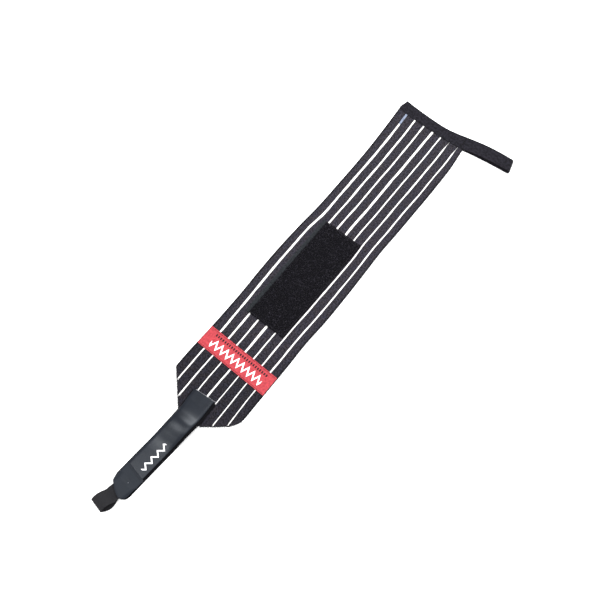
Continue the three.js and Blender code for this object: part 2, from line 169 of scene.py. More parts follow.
# Cut of the tapered end. across: share of half the band's width. reach: share of the taper's length
TAPER_CUT = {
    "across": (-1.000, -0.985, -0.900, -0.800, -0.545, -0.320, 0.330, 1.000),
    "reach": (1.08, 0.88, 0.68, 0.53, 0.24, 0.00, 0.00, 0.98),
}

# White stripes, one in each groove from the near side. width: millimetres
STRIPES = {
    "groove": (-3, -2, -1, 0, 1, 2, 3),
    "width": (1.4, 1.4, 1.3, 2.2, 1.5, 1.8, 2.0),
}

# Lay of the strap. at: share of its length. drift and width: shares of its width. hump: share of its height
STRAP_LAY = {
    "at": (0.00, 0.12, 0.24, 0.34, 0.42, 0.52, 0.63, 0.74, 0.87, 1.00),
    "drift": (0.014, -0.004, -0.038, -0.042, -0.026, 0.012, 0.054, 0.090, 0.126, 0.158),
    "width": (0.980, 0.975, 0.950, 0.920, 0.905, 0.900, 0.900, 0.905, 0.905, 0.905),
    "hump": (0.00, 0.00, 0.28, 0.92, 1.00, 0.62, 0.16, 0.00, 0.00, 0.00),
}

# End of the pad. at: share of its width from the far side. reach: share of its length
PAD_END = {
    "at": (0.00, 0.05, 0.17, 0.70, 0.81, 0.92, 0.98, 1.00),
    "reach": (0.45, 0.62, 0.73, 0.99, 1.00, 0.96, 0.87, 0.76),
}

# Path of the pull loop's webbing outside the pad. out: share of its reach. rise: share of its height
PULL_PATH = {
    "out": (0.16, 0.34, 0.62, 0.85, 0.98, 0.98, 0.85, 0.63, 0.38, 0.17),
    "rise": (0.11, 0.01, 0.00, 0.12, 0.37, 0.66, 0.92, 1.00, 0.82, 0.48),
}

# Plan of the thumb loop tape. at: share of its run. edge and width: shares of its width.
# rise: share of the opening
TAPE_PLAN = {
    "at": (0.00, 0.09, 0.25, 0.42, 0.52, 0.60, 0.67, 0.76, 0.85, 1.00),
    "edge": (0.15, 0.02, 0.00, -0.01, 0.04, 0.16, 0.29, 0.42, 0.53, 0.67),
    "width": (0.82, 0.87, 0.82, 0.86, 0.98, 1.04, 1.03, 1.01, 0.99, 0.95),
    "rise": (0.0, 0.0, 0.0, 0.0, 0.0, 0.0, 0.3, 0.8, 1.0, 1.0),
}


# Small helpers

def clamp(value, low=0.0, high=1.0):
    return min(max(value, low), high)


def lerp(a, b, share):
    return a + (b - a) * share


def ease(value, low, high):
    share = clamp((value - low) / (high - low))
    return share * share * (3 - 2 * share)


def steps(low, high, count):
    return [lerp(low, high, index / count) for index in range(count + 1)]


def smooth_column(table, key):
    """A column of a table as a smooth curve that passes through each row."""
    places, values = table["at"], table[key]
    last = len(places) - 1

    def value(at):
        at = clamp(at)
        right = min(max(bisect_right(places, at), 1), last)
        start, end = places[right - 1], places[right]
        half = (end - start) / 2
        first = right == 1
        before = values[right] if first else values[right - 2]
        before_pull = -0.5 if first else half / (start - places[right - 2])
        after = values[right - 1] if right == last else values[right + 1]
        after_pull = -0.5 if right == last else half / (places[right + 1] - end)
        p = (at - start) / (end - start)
        p2, p3 = p * p, p * p * p
        return (
            before * (-before_pull * p3 + 2 * before_pull * p2 - before_pull * p)
            + values[right - 1] * ((1 + before_pull) * p3 + (-1.5 - 2 * before_pull) * p2
                                   + (before_pull - 0.5) * p + 1)
            + values[right] * ((-1 - after_pull) * p3 + (1.5 + after_pull) * p2 + 0.5 * p)
            + after * (after_pull * p3 - after_pull * p2)
        )

    return value


def wander(x, y, period, seed=0.0):
    """Slow hand-made unevenness, from -1 to 1, over about this period in millimetres."""
    return noise.noise(Vector((x / period, y / period, seed)))


def in_frame(x, y, z):
    """A point in millimetres of the wrap's own axes, in metres of the frame."""
    return ORIGIN + Vector((x, y, z)) * MM


def linear(code):
    """An sRGB hex colour as linear red, green and blue."""
    parts = [int(code[place:place + 2], 16) / 255 for place in (1, 3, 5)]
    return [part / 12.92 if part <= 0.04045 else ((part + 0.055) / 1.055) ** 2.4 for part in parts]


def shaded(colour, share):
    """A colour made darker or lighter by this share."""
    return [min(1, part * share) for part in colour]


def yarns(colour, share):
    """The dark and the light side of one yarn."""
    return shaded(colour, share), colour


def cells(size_mm):
    """The scale of a noise whose lumps are this many millimetres."""
    return 1 / (size_mm * MM)


# The lay of the pieces, as in the frame

OUTER_GROOVE = (RIB_COUNT / 2 - 1) * RIB_PITCH / HALF_BAND
KNOWN_LINES = (-1, -OUTER_GROOVE, 0, OUTER_GROOVE, 1)
LINE_COLUMNS = ("near_edge", "first_groove", "mid_groove", "last_groove", "far_edge")
band_lines = [smooth_column(BAND_PLAN, name) for name in LINE_COLUMNS]
lift_far = smooth_column(BAND_LAY, "far")
lift_middle = smooth_column(BAND_LAY, "middle")
lift_near = smooth_column(BAND_LAY, "near")
strap_drift = smooth_column(STRAP_LAY, "drift")
strap_width = smooth_column(STRAP_LAY, "width")
strap_hump = smooth_column(STRAP_LAY, "hump")
pad_reach = smooth_column(PAD_END, "reach")
tape_edge = smooth_column(TAPE_PLAN, "edge")
tape_width = smooth_column(TAPE_PLAN, "width")
tape_rise = smooth_column(TAPE_PLAN, "rise")


def taper_reach(share):
    return float(np.interp(share, TAPER_CUT["across"], TAPER_CUT["reach"]))


def band_line(x, share):
    """Y of the line at this share of the half width, -1 on the near side and 1 on the far side."""
    places = [line(x / BAND_LENGTH) for line in band_lines]
    return float(np.interp(share, KNOWN_LINES, places)) * HALF_BAND


def band_floor(x, y):
    at = x / BAND_LENGTH
    share = clamp(y / HALF_BAND, -1, 1)
    side = lift_far(at) if share > 0 else lift_near(at)
    wave = lerp(lift_middle(at), side, share * share)
    on_tape = ease(x, TAPE_EDGE - TAPE_RAMP, TAPE_EDGE)
    return max(0, wave) * WAVE_HEIGHT * (1 - on_tape) + on_tape * (TAPE_THICKNESS + CLEARANCE)


def band_top(x, y):
    return band_floor(x, y) + BAND_THICKNESS


def strap_lay(distance):
    """X, Y, width and floor height of the strap's line at this distance from its sewn end."""
    at = distance / STRAP_LENGTH
    last = STRAP_LAY["at"][-2]
    slope = (strap_drift(1) - strap_drift(last)) / (1 - last)
    y = (strap_drift(at) + max(0, at - 1) * slope) * STRAP_WIDTH
    leaving = ease(distance, STRAP_OVERLAP * 1.1, STRAP_LENGTH * 0.7)
    floor = (BAND_THICKNESS + CLEARANCE) * (1 - leaving) + max(0, strap_hump(at)) * STRAP_HUMP
    return STRAP_OVERLAP - distance, y, strap_width(at) * STRAP_WIDTH, floor


def strap_point(distance, across, extra_width, height):
    """A point of the strap. across runs from -0.5 on the far side to 0.5 on the near side."""
    x, y, width, floor = strap_lay(distance)
    on_band = max(0, band_floor(x, y - across * width)) if x > 0 else band_floor(0, 0)
    return x, y - across * (width + extra_width), floor + on_band + height


# Meshes

UP = Vector((0, 0, 1))
# Where a stitch comes up and dips again, as shares of its pitch
STITCH_ENDS = (0.08, 0.92)


def finished(name, bm, material, replaces=()):
    """Makes the object of a bmesh, with its material, and lets it ride on the frame."""
    mesh = bpy.data.meshes.new(name)
    bm.to_mesh(mesh)
    bm.free()
    return dressed(name, mesh, material, replaces)


def dressed(name, mesh, material, replaces=()):
    mesh.shade_smooth()
    mesh.materials.append(material)
    piece = bpy.data.objects.new(name, mesh)
    bpy.context.scene.collection.objects.link(piece)
    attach(piece, "root")
    if replaces:
        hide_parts(*replaces)
    return piece


def woven_grid(columns, rows, place, flat):
    """A grid of cloth that faces up at its first column. place gives each corner in millimetres, and flat its
    place on the uncut cloth, for the weave."""
    bm = bmesh.new()
    bmesh.ops.create_grid(bm, x_segments=len(columns) - 1, y_segments=len(rows) - 1, size=0.5)
    spots, first = {}, []
    for corner in bm.verts:
        number = round((corner.co.x + 0.5) * (len(columns) - 1))
        if number == 0:
            first.append(corner)
        column = columns[number]
        row = rows[round((corner.co.y + 0.5) * (len(rows) - 1))]
        spots[corner] = flat(column, row)
        corner.co = in_frame(*place(column, row))
    weave = bm.loops.layers.uv.new("weave")
    for face in bm.faces:
        for loop in face.loops:
            along, across = spots[loop.vert]
            loop[weave].uv = (along * MM, across * MM)
    bm.normal_update()
    if sum(face.normal.z for corner in first for face in corner.link_faces) < 0:
        bmesh.ops.reverse_faces(bm, faces=bm.faces)
    return bm


def thicken(piece, thickness, rim):
    """Gives a sheet its thickness in millimetres, below its own face, with a rounded rim."""
    solid = piece.modifiers.new("thickness", "SOLIDIFY")
    solid.thickness = thickness * MM
    solid.offset = -1
    solid.use_even_offset = False
    edge = piece.modifiers.new("rim", "BEVEL")
    edge.width = rim * MM
    edge.segments = 2
    edge.limit_method = "ANGLE"
    edge.angle_limit = math.radians(55)
    return piece


def repeated(name, template, places, material):
    """One mesh that holds a copy of the template bmesh at each place, joined from arrays."""
    template.verts.index_update()
    corners = np.array([corner.co for corner in template.verts])
    faces = np.array([[corner.index for corner in face.verts] for face in template.faces])
    template.free()
    turned = [corners @ np.array(place.to_3x3()).T + np.array(place.translation) for place in places]
    numbered = [faces + index * len(corners) for index in range(len(places))]
    mesh = bpy.data.meshes.new(name)
    mesh.from_pydata(np.concatenate(turned).tolist(), [], np.concatenate(numbered).tolist())
    return dressed(name, mesh, material)


def place_at(point, along):
    """The matrix that puts a template at a point, its X along the row and its Z up."""
    side = UP.cross(along).normalized()
    along = along.normalized()
    turn = Matrix((along, side, along.cross(side))).transposed().to_4x4()
    return Matrix.Translation(point) @ turn


def thread_arc(length_mm, radius_mm, sides=5, spans=4, sweep=110):
    """A piece of thread that comes out of the cloth, arches over it and dips back, along X."""
    bm = bmesh.new()
    length, radius = length_mm * MM, radius_mm * MM
    half_turn = math.radians(sweep) / 2
    bend = length / (2 * math.sin(half_turn))
    ring = bmesh.ops.create_circle(bm, cap_ends=False, segments=sides, radius=radius)
    quarter = Matrix.Rotation(math.radians(90), 4, "Y")
    start = Matrix.Rotation(-half_turn, 4, "Y") @ Matrix.Translation((0, 0, bend)) @ quarter
    bmesh.ops.transform(bm, matrix=start, verts=ring["verts"])
    bmesh.ops.spin(bm, geom=bm.edges[:], cent=(0, 0, 0), axis=(0, 1, 0), angle=2 * half_turn, steps=spans)
    bmesh.ops.translate(bm, vec=(0, 0, -bend * math.cos(half_turn) - radius), verts=bm.verts[:])
    bmesh.ops.remove_doubles(bm, verts=bm.verts[:], dist=radius * 0.01)
    bmesh.ops.holes_fill(bm, edges=[edge for edge in bm.edges if edge.is_boundary], sides=0)
    bmesh.ops.triangulate(bm, faces=bm.faces[:])
    bmesh.ops.recalc_face_normals(bm, faces=bm.faces[:])
    return bm


def stitch_row(surface, start, end, pitch, zigzag=0.0):
    """Places for stitches along a line on a surface. surface makes the line's two numbers a point in
    millimetres, and zigzag is the width of the row."""
    def spot(share):
        return Vector(surface(*[lerp(a, b, share) for a, b in zip(start, end)]))

    count = max(1, round((spot(1) - spot(0)).length / pitch))
    places = []
    for index in range(count):
        ends = []
        for side, shift in enumerate(STITCH_ENDS):
            share = (index + shift) / count
            point = spot(share)
            if zigzag:
                aside = UP.cross(spot(min(1, share + 0.01)) - spot(max(0, share - 0.01))).normalized()
                point += aside * zigzag * (1 if (index + side) % 2 else -1) / 2
            ends.append(in_frame(*point))
        along = ends[1] - ends[0]
        places.append((place_at((ends[0] + ends[1]) / 2, along), along.length / MM))
    return places


def sewn(name, rows, thread, thread_mm):
    """All the stitches of one thread as one piece, each as long as the mean gap of the rows."""
    length = sum(long for _, long in rows) / len(rows)
    template = thread_arc(length, thread_mm / 2)
    return repeated(name, template, [place for place, _ in rows], thread)


# Materials

SOFT_NOISE = {"Detail": 2, "Roughness": 0.6}


def add_node(tree, kind, inputs=None, **settings):
    """Adds a node. inputs gives a value or another node's socket for an input's name or number."""
    made = tree.nodes.new("ShaderNode" + kind)
    for name, value in settings.items():
        setattr(made, name, value)
    for name, value in (inputs or {}).items():
        if isinstance(value, bpy.types.NodeSocket):
            tree.links.new(value, made.inputs[name])
        else:
            made.inputs[name].default_value = value
    return made


def new_material(name, shader_inputs):
    material = bpy.data.materials.new(name)
    material.use_nodes = True
    tree = material.node_tree
    shader = tree.nodes["Principled BSDF"]
    for socket, value in shader_inputs.items():
        shader.inputs[socket].default_value = value
    return material, tree, shader


def rgba(colour):
    return (*colour, 1.0)


def waves(tree, socket, period_mm):
    """A sine of a coordinate in metres, with this period in millimetres."""
    turned = add_node(tree, "Math", {0: socket, 1: 2 * math.pi / (period_mm * MM)}, operation="MULTIPLY")
    return add_node(tree, "Math", {0: turned.outputs[0]}, operation="SINE").outputs[0]


def blend(tree, share, low, high, dark, light):
    """Runs from the dark to the light colour while the share runs from low to high."""
    part = add_node(tree, "MapRange", {"Value": share, "From Min": low, "From Max": high})
    mixed = add_node(tree, "Mix", {"Factor": part.outputs["Result"], 6: dark, 7: light}, data_type="RGBA")
    return mixed.outputs[2]


def over_and_under(tree, first, second):
    """Height of yarns that cross: 1 where one is on top, 0 where it dips."""
    crossed = add_node(tree, "Math", {0: first, 1: second}, operation="MULTIPLY").outputs[0]
    return add_node(tree, "Math", {0: crossed, 1: 0.5, 2: 0.5}, operation="MULTIPLY_ADD").outputs[0]


def woven_material(name, dark, light, along_mm, across_mm, depth_mm, roughness, sheen=0.0, specular=0.25,
                   speckle_mm=1.6, speckle_share=0.6, contrast=0.2):
    """Yarns over and under each other on the piece's own weave coordinates, lighter where one is on top."""
    material, tree, shader = new_material(name, {
        "Roughness": roughness, "Specular IOR Level": specular, "Sheen Weight": sheen, "Sheen Roughness": 0.5,
    })
    weave = add_node(tree, "UVMap", uv_map="weave").outputs["UV"]
    split = add_node(tree, "SeparateXYZ", {"Vector": weave})
    along = waves(tree, split.outputs["X"], along_mm)
    across = waves(tree, split.outputs["Y"], across_mm)
    height = over_and_under(tree, along, across)
    lumps = add_node(tree, "TexNoise", {"Vector": weave, "Scale": cells(speckle_mm), **SOFT_NOISE})
    mixed = add_node(tree, "Mix", {"Factor": speckle_share, 2: height, 3: lumps.outputs["Fac"]})
    shade = blend(tree, mixed.outputs[0], 0.5 - contrast, 0.5 + contrast, rgba(dark), rgba(light))
    tree.links.new(shade, shader.inputs["Base Color"])
    bump = add_node(tree, "Bump", {"Height": height, "Strength": 0.8, "Distance": depth_mm * MM})
    tree.links.new(bump.outputs["Normal"], shader.inputs["Normal"])
    return material


def knitted_elastic(colours):
    """Rib elastic: black and grey covered rubber yarns knitted on a narrow loom. It looks soft and speckled,
    with no gloss, and the weft shows as fine lines across each rib."""
    material, tree, shader = new_material("knitted_rib_elastic", {
        "Roughness": 0.92, "Specular IOR Level": 0.08, "Sheen Weight": 0.03, "Sheen Roughness": 0.6,
    })
    weave = add_node(tree, "UVMap", uv_map="weave").outputs["UV"]
    split = add_node(tree, "SeparateXYZ", {"Vector": weave})
    slant = add_node(
        tree, "Math", {0: split.outputs["Y"], 1: 0.5, 2: split.outputs["X"]}, operation="MULTIPLY_ADD",
    ).outputs[0]
    # Weft and warp are drawn at 1.1 and 1.3 mm, coarser than real, so that they show
    height = over_and_under(tree, waves(tree, slant, 1.1), waves(tree, split.outputs["Y"], 1.3))
    grain = add_node(tree, "TexNoise", {"Vector": weave, "Scale": cells(1.5), **SOFT_NOISE})
    broad = {"Vector": weave, "Scale": cells(5), "Detail": 3, "Roughness": 0.6}
    patches = add_node(tree, "TexNoise", broad)
    knit = add_node(tree, "Mix", {"Factor": 0.2, 2: grain.outputs["Fac"], 3: height}).outputs[0]
    colour = blend(tree, knit, 0.4, 0.6, rgba(colours.rib_dark), rgba(colours.rib_light))
    tint = blend(tree, patches.outputs["Fac"], 0.35, 0.65, (1.06, 1.0, 0.96, 1), (0.9, 0.94, 1.08, 1))
    # Painted shade: the band is drawn darker towards the strap's end, standing in for the light falling off
    # there
    low, high = LABEL_START * MM, (LABEL_START + 2 * LABEL_WIDTH) * MM
    painted_falloff_shade = blend(tree, split.outputs["X"], low, high, (0.66, 0.66, 0.68, 1), (1, 1, 1, 1))
    # Painted shade: the long edges are drawn darker, standing in for the shade where the ribs' outer edges
    # roll down
    side = add_node(tree, "Math", {0: split.outputs["Y"]}, operation="ABSOLUTE").outputs[0]
    low, high = (HALF_BAND - 2.6) * MM, (HALF_BAND - 0.6) * MM
    edge = blend(tree, side, low, high, (1, 1, 1, 1), (0.3, 0.3, 0.32, 1))
    for layer in (tint, painted_falloff_shade, edge):
        colour = add_node(
            tree, "Mix", {"Factor": 1.0, 6: colour, 7: layer}, data_type="RGBA", blend_type="MULTIPLY",
        ).outputs[2]
    tree.links.new(colour, shader.inputs["Base Color"])
    bump = add_node(tree, "Bump", {"Height": height, "Strength": 0.7, "Distance": 0.25 * MM})
    tree.links.new(bump.outputs["Normal"], shader.inputs["Normal"])
    return material


def plain_fibre(name, colour, roughness=0.8, specular=0.2, spread=0.25, size_mm=2.5):
    """Dyed fibre or thread: one colour that varies a little from place to place."""
    material, tree, shader = new_material(name, {"Roughness": roughness, "Specular IOR Level": specular})
    spot = add_node(tree, "TexCoord").outputs["Object"]
    lumps = add_node(tree, "TexNoise", {"Vector": spot, "Scale": cells(size_mm), **SOFT_NOISE})
    low, high = rgba(shaded(colour, 1 - spread)), rgba(shaded(colour, 1 + spread))
    shade = blend(tree, lumps.outputs["Fac"], 0.35, 0.65, low, high)
    tree.links.new(shade, shader.inputs["Base Color"])
    return material


def coated_fabric(name, colour, roughness, grain_mm, depth_mm, specular):
    """Fabric with a rubber-like coat: a closed skin with a fine grain and soft gloss."""
    material, tree, shader = new_material(name, {
        "Specular IOR Level": specular, "Specular Tint": (0.9, 0.95, 1.0, 1),
    })
    spot = add_node(tree, "TexCoord").outputs["Object"]
    clouds = add_node(tree, "TexNoise", {"Vector": spot, "Scale": cells(9), "Detail": 3}).outputs["Fac"]
    shade = blend(tree, clouds, 0.35, 0.65, rgba(shaded(colour, 0.9)), rgba(shaded(colour, 1.1)))
    tree.links.new(shade, shader.inputs["Base Color"])
    gloss = add_node(
        tree, "MapRange", {"Value": clouds, "To Min": roughness - 0.05, "To Max": roughness + 0.07},
    )
    tree.links.new(gloss.outputs["Result"], shader.inputs["Roughness"])
    grain = add_node(tree, "TexNoise", {"Vector": spot, "Scale": cells(grain_mm), "Detail": 2}).outputs["Fac"]
    bump = add_node(tree, "Bump", {"Height": grain, "Strength": 0.6, "Distance": depth_mm * MM})
    tree.links.new(bump.outputs["Normal"], shader.inputs["Normal"])
    return material


# What a user may change

class WrapSizes(bpy.types.PropertyGroup):
    """Sizes of the details, in metres as Blender keeps them."""

    stitch: bpy.props.FloatProperty(
        name="Stitch", description="Length of one stitch", default=2.2 * MM, unit="LENGTH")
    pile_height: bpy.props.FloatProperty(
        name="Pile height", description="How far the loops of the pile stand up", default=MM, unit="LENGTH")
    pile_loops: bpy.props.IntProperty(
        name="Pile loops", description="Number of loops of the pile that are modelled", default=5000)
    hooks: bpy.props.IntProperty(
        name="Hooks", description="Number of hooks under the strap that are modelled", default=2600)
    zigzag: bpy.props.FloatProperty(
        name="Zigzag", description="Width of the zigzag line on the label", default=2.4 * MM, unit="LENGTH")


# Each colour's name, what it belongs to and its sRGB code
COLOURS = {
    "rib_dark": ("Rib, dark", "Dark yarn of the ribs", "#0e0d10"),
    "rib_light": ("Rib, light", "Light yarn of the ribs", "#323036"),
    "stripe": ("Stripe", "White yarn in the grooves", "#dcdbd9"),
    "label": ("Label", "Ground of the label", "#aa3039"),
    "label_shade": ("Label, shade", "Ground of the label between its yarns", "#831b24"),
    "motif": ("Motif", "White yarn and print", "#f2f2f4"),
    "pile": ("Pile", "Fibres of the pile", "#1a191e"),
    "selvedge": ("Selvedge", "Bare edge of the pile's tape", "#272a2d"),
    "strap": ("Strap", "Coat of the strap", "#0c1018"),
    "pad": ("Pad", "Coat of the end pad", "#13171e"),
    "hook": ("Hook tape", "Nylon of the hook tape", "#0b0b0e"),
    "webbing": ("Webbing", "Webbing of the pull loop", "#1e1e21"),
    "tape": ("Tape", "Elastic tape of the thumb loop", "#1d1c22"),
}


class WrapColours(bpy.types.PropertyGroup):
    """Colours of the yarns and coats, linear."""

    __annotations__ = {
        name: bpy.props.FloatVectorProperty(
            name=label, description=about, default=linear(code), subtype="COLOR")
        for name, (label, about, code) in COLOURS.items()
    }


def chosen(name):
    """A size of the details that the user has set, in millimetres."""
    return getattr(bpy.context.scene.wrap_sizes, name) / MM


class WrapPiece:
    """What the operators share."""

    bl_options = {"REGISTER", "UNDO"}

    @property
    def sizes(self):
        return bpy.context.scene.wrap_sizes

    @property
    def colours(self):
        return bpy.context.scene.wrap_colours


class WRAP_OT_band(WrapPiece, bpy.types.Operator):
    """Build the elastic band with its ribs and the white stripes in its grooves"""

    bl_idname = "wrap.band"
    bl_label = "Band"

    TAPER_COLUMNS = 18
    TAPER_END = TAPER_LENGTH * 1.5
    COLUMN = 1.5
    RIB_ACROSS = (-1.0, -0.94, -0.8, -0.5, 0.0, 0.5, 0.8, 0.94, 1.0)
    STRIPE_ACROSS = (-1.0, -0.6, 0.0, 0.6, 1.0)
    STRIPE_GAP = 0.3
    STRIPE_COLUMN = 1.0
    STRIPE_CROWN = 0.22
    STRIPE_THICKNESS = 0.3
    # Share of its width that a stripe keeps at the taper, and those of the near side at the binding
    THIN_START = 0.72
    THIN_END = 0.15
    # Length in millimetres of the far stripe's last stretch, drawn darker as painted shade
    SHADED_STRIPE_END = 13

    def lines(self):
        """Lines along the band: share of the half width and height as a share of the groove's depth."""
        grooves = [place * RIB_PITCH for place in STRIPES["groove"]]
        halves = [width / 2 + self.STRIPE_GAP for width in STRIPES["width"]]
        lows = [-HALF_BAND] + [middle + half for middle, half in zip(grooves, halves)]
        highs = [middle - half for middle, half in zip(grooves, halves)] + [HALF_BAND]
        found = []
        for low, high in zip(lows, highs):
            for across in self.RIB_ACROSS:
                y = lerp(low, high, (across + 1) / 2)
                found.append((y / HALF_BAND, math.sqrt(max(0, 1 - abs(across) ** 6))))
        return found

    def spot(self, column, share, height):
        part, beyond = column
        x = beyond if part >= 1 else lerp(taper_reach(share) * TAPER_LENGTH, self.TAPER_END, part)
        y = band_line(x, share)
        ripple = 0.06 * wander(x, y, 9) + 0.03 * wander(x, y * 0.4, 2.4, 3.0)
        return x, y, band_floor(x, y) + BAND_THICKNESS - (1 - height) * GROOVE_DEPTH + ripple * height

    def execute(self, context):
        start = self.TAPER_END
        columns = [(part, 0) for part in steps(0, 1, self.TAPER_COLUMNS)[:-1]]
        columns += [(1, x) for x in steps(start, BAND_LENGTH, round((BAND_LENGTH - start) / self.COLUMN))]

        def flat(column, line):
            x, _, _ = self.spot(column, line[0], 1)
            return x, line[0] * HALF_BAND

        bm = woven_grid(columns, self.lines(), lambda column, line: self.spot(column, *line), flat)
        band = finished("band_elastic", bm, knitted_elastic(self.colours), ("band",))
        thicken(band, BAND_THICKNESS - GROOVE_DEPTH - 0.1, 0.3)
        stripes = self.stripes()
        return {"FINISHED"}

    def stripes(self):
        """The white yarn: one flat woven line in each groove, narrower near the binding on the near side."""
        joined = bmesh.new()
        for groove, width in zip(STRIPES["groove"], STRIPES["width"]):
            share = groove * RIB_PITCH / HALF_BAND
            first = taper_reach(share) * TAPER_LENGTH + 0.8
            last = TAPE_EDGE + 3
            columns = steps(first, last, round((last - first) / self.STRIPE_COLUMN))

            def place(x, across, share=share, width=width):
                thin = lerp(1, self.THIN_END, ease(x, last - 16, last - 3)) if share < -0.4 else 1
                thin *= lerp(self.THIN_START, 1, ease(x, LABEL_START, LABEL_START + 1.8 * LABEL_WIDTH))
                uneven = 0.25 * wander(x, share * 50, 11, 7.0) + 0.12 * wander(x, share * 50, 4, 9.0)
                y = band_line(x, share) + across * width / 2 * (1 + uneven) * thin
                y += 0.35 * wander(x, share * 50, 23, 5.0) + 0.1 * wander(x, share * 50, 7, 6.0)
                crown = math.sqrt(max(0, 1 - across * across * 0.9)) * self.STRIPE_CROWN
                z = band_floor(x, y) + BAND_THICKNESS - GROOVE_DEPTH + crown
                return x, y, z

            line = woven_grid(
                columns, self.STRIPE_ACROSS, place,
                lambda x, across, share=share, width=width: (x, across * width / 2 + share * HALF_BAND),
            )
            mesh = bpy.data.meshes.new("stripe")
            line.to_mesh(mesh)
            line.free()
            joined.from_mesh(mesh)
            bpy.data.meshes.remove(mesh)
        # Polyester yarn, bleached: clean matt white, with the stitches of the knit just showing
        white = woven_material(
            "bleached_polyester_yarn", *yarns(self.colours.stripe, 0.86),
            along_mm=1.4, across_mm=0.9, depth_mm=0.12, roughness=0.85, specular=0.3,
        )
        # The same yarn drawn darker blue-grey on the last stretch of the far stripe, as painted shade where
        # the band's corner bends down
        grey = plain_fibre("painted_shade_yarn", linear("#6d7587"), roughness=0.85)
        stripes = finished("stripe_yarns", joined, white)
        stripes.data.materials.append(grey)
        # Faces on that last stretch take the painted shade
        for face in stripes.data.polygons:
            middle = (face.center - ORIGIN) / MM
            if middle.x > TAPE_EDGE - self.SHADED_STRIPE_END and middle.y > RIB_PITCH * 2.5:
                face.material_index = 1
        return thicken(stripes, self.STRIPE_THICKNESS, 0.08)


class WRAP_OT_taper_edge(WrapPiece, bpy.types.Operator):
    """Sew over the cut edge of the tapered end"""

    bl_idname = "wrap.taper_edge"
    bl_label = "Taper edge"

    LOOP_PITCH = 1.5
    LOOP_LENGTH = 2.6
    LOOP_BEYOND = 0.6

    def execute(self, context):
        corners = []
        for share in steps(-0.99, 0.99, 400):
            x = taper_reach(share) * TAPER_LENGTH
            y = band_line(x, share)
            corners.append(Vector((x, y, band_floor(x, y) + BAND_THICKNESS - 0.2)))
        places, walked = [], 0.0
        for before, after in zip(corners, corners[1:]):
            walked += (after - before).length
            if walked < self.LOOP_PITCH:
                continue
            walked = 0.0
            inward = UP.cross(before - after).normalized()
            middle = after + inward * (self.LOOP_LENGTH / 2 - self.LOOP_BEYOND)
            places.append(place_at(in_frame(*middle), inward))
        template = thread_arc(self.LOOP_LENGTH, 0.28, sweep=90)
        # Overlock thread, spun polyester dyed black: a dull line of small ridges along the cut
        thread = plain_fibre("overlock_thread", linear("#1d1c21"))
        repeated("taper_overlock", template, places, thread)
        return {"FINISHED"}


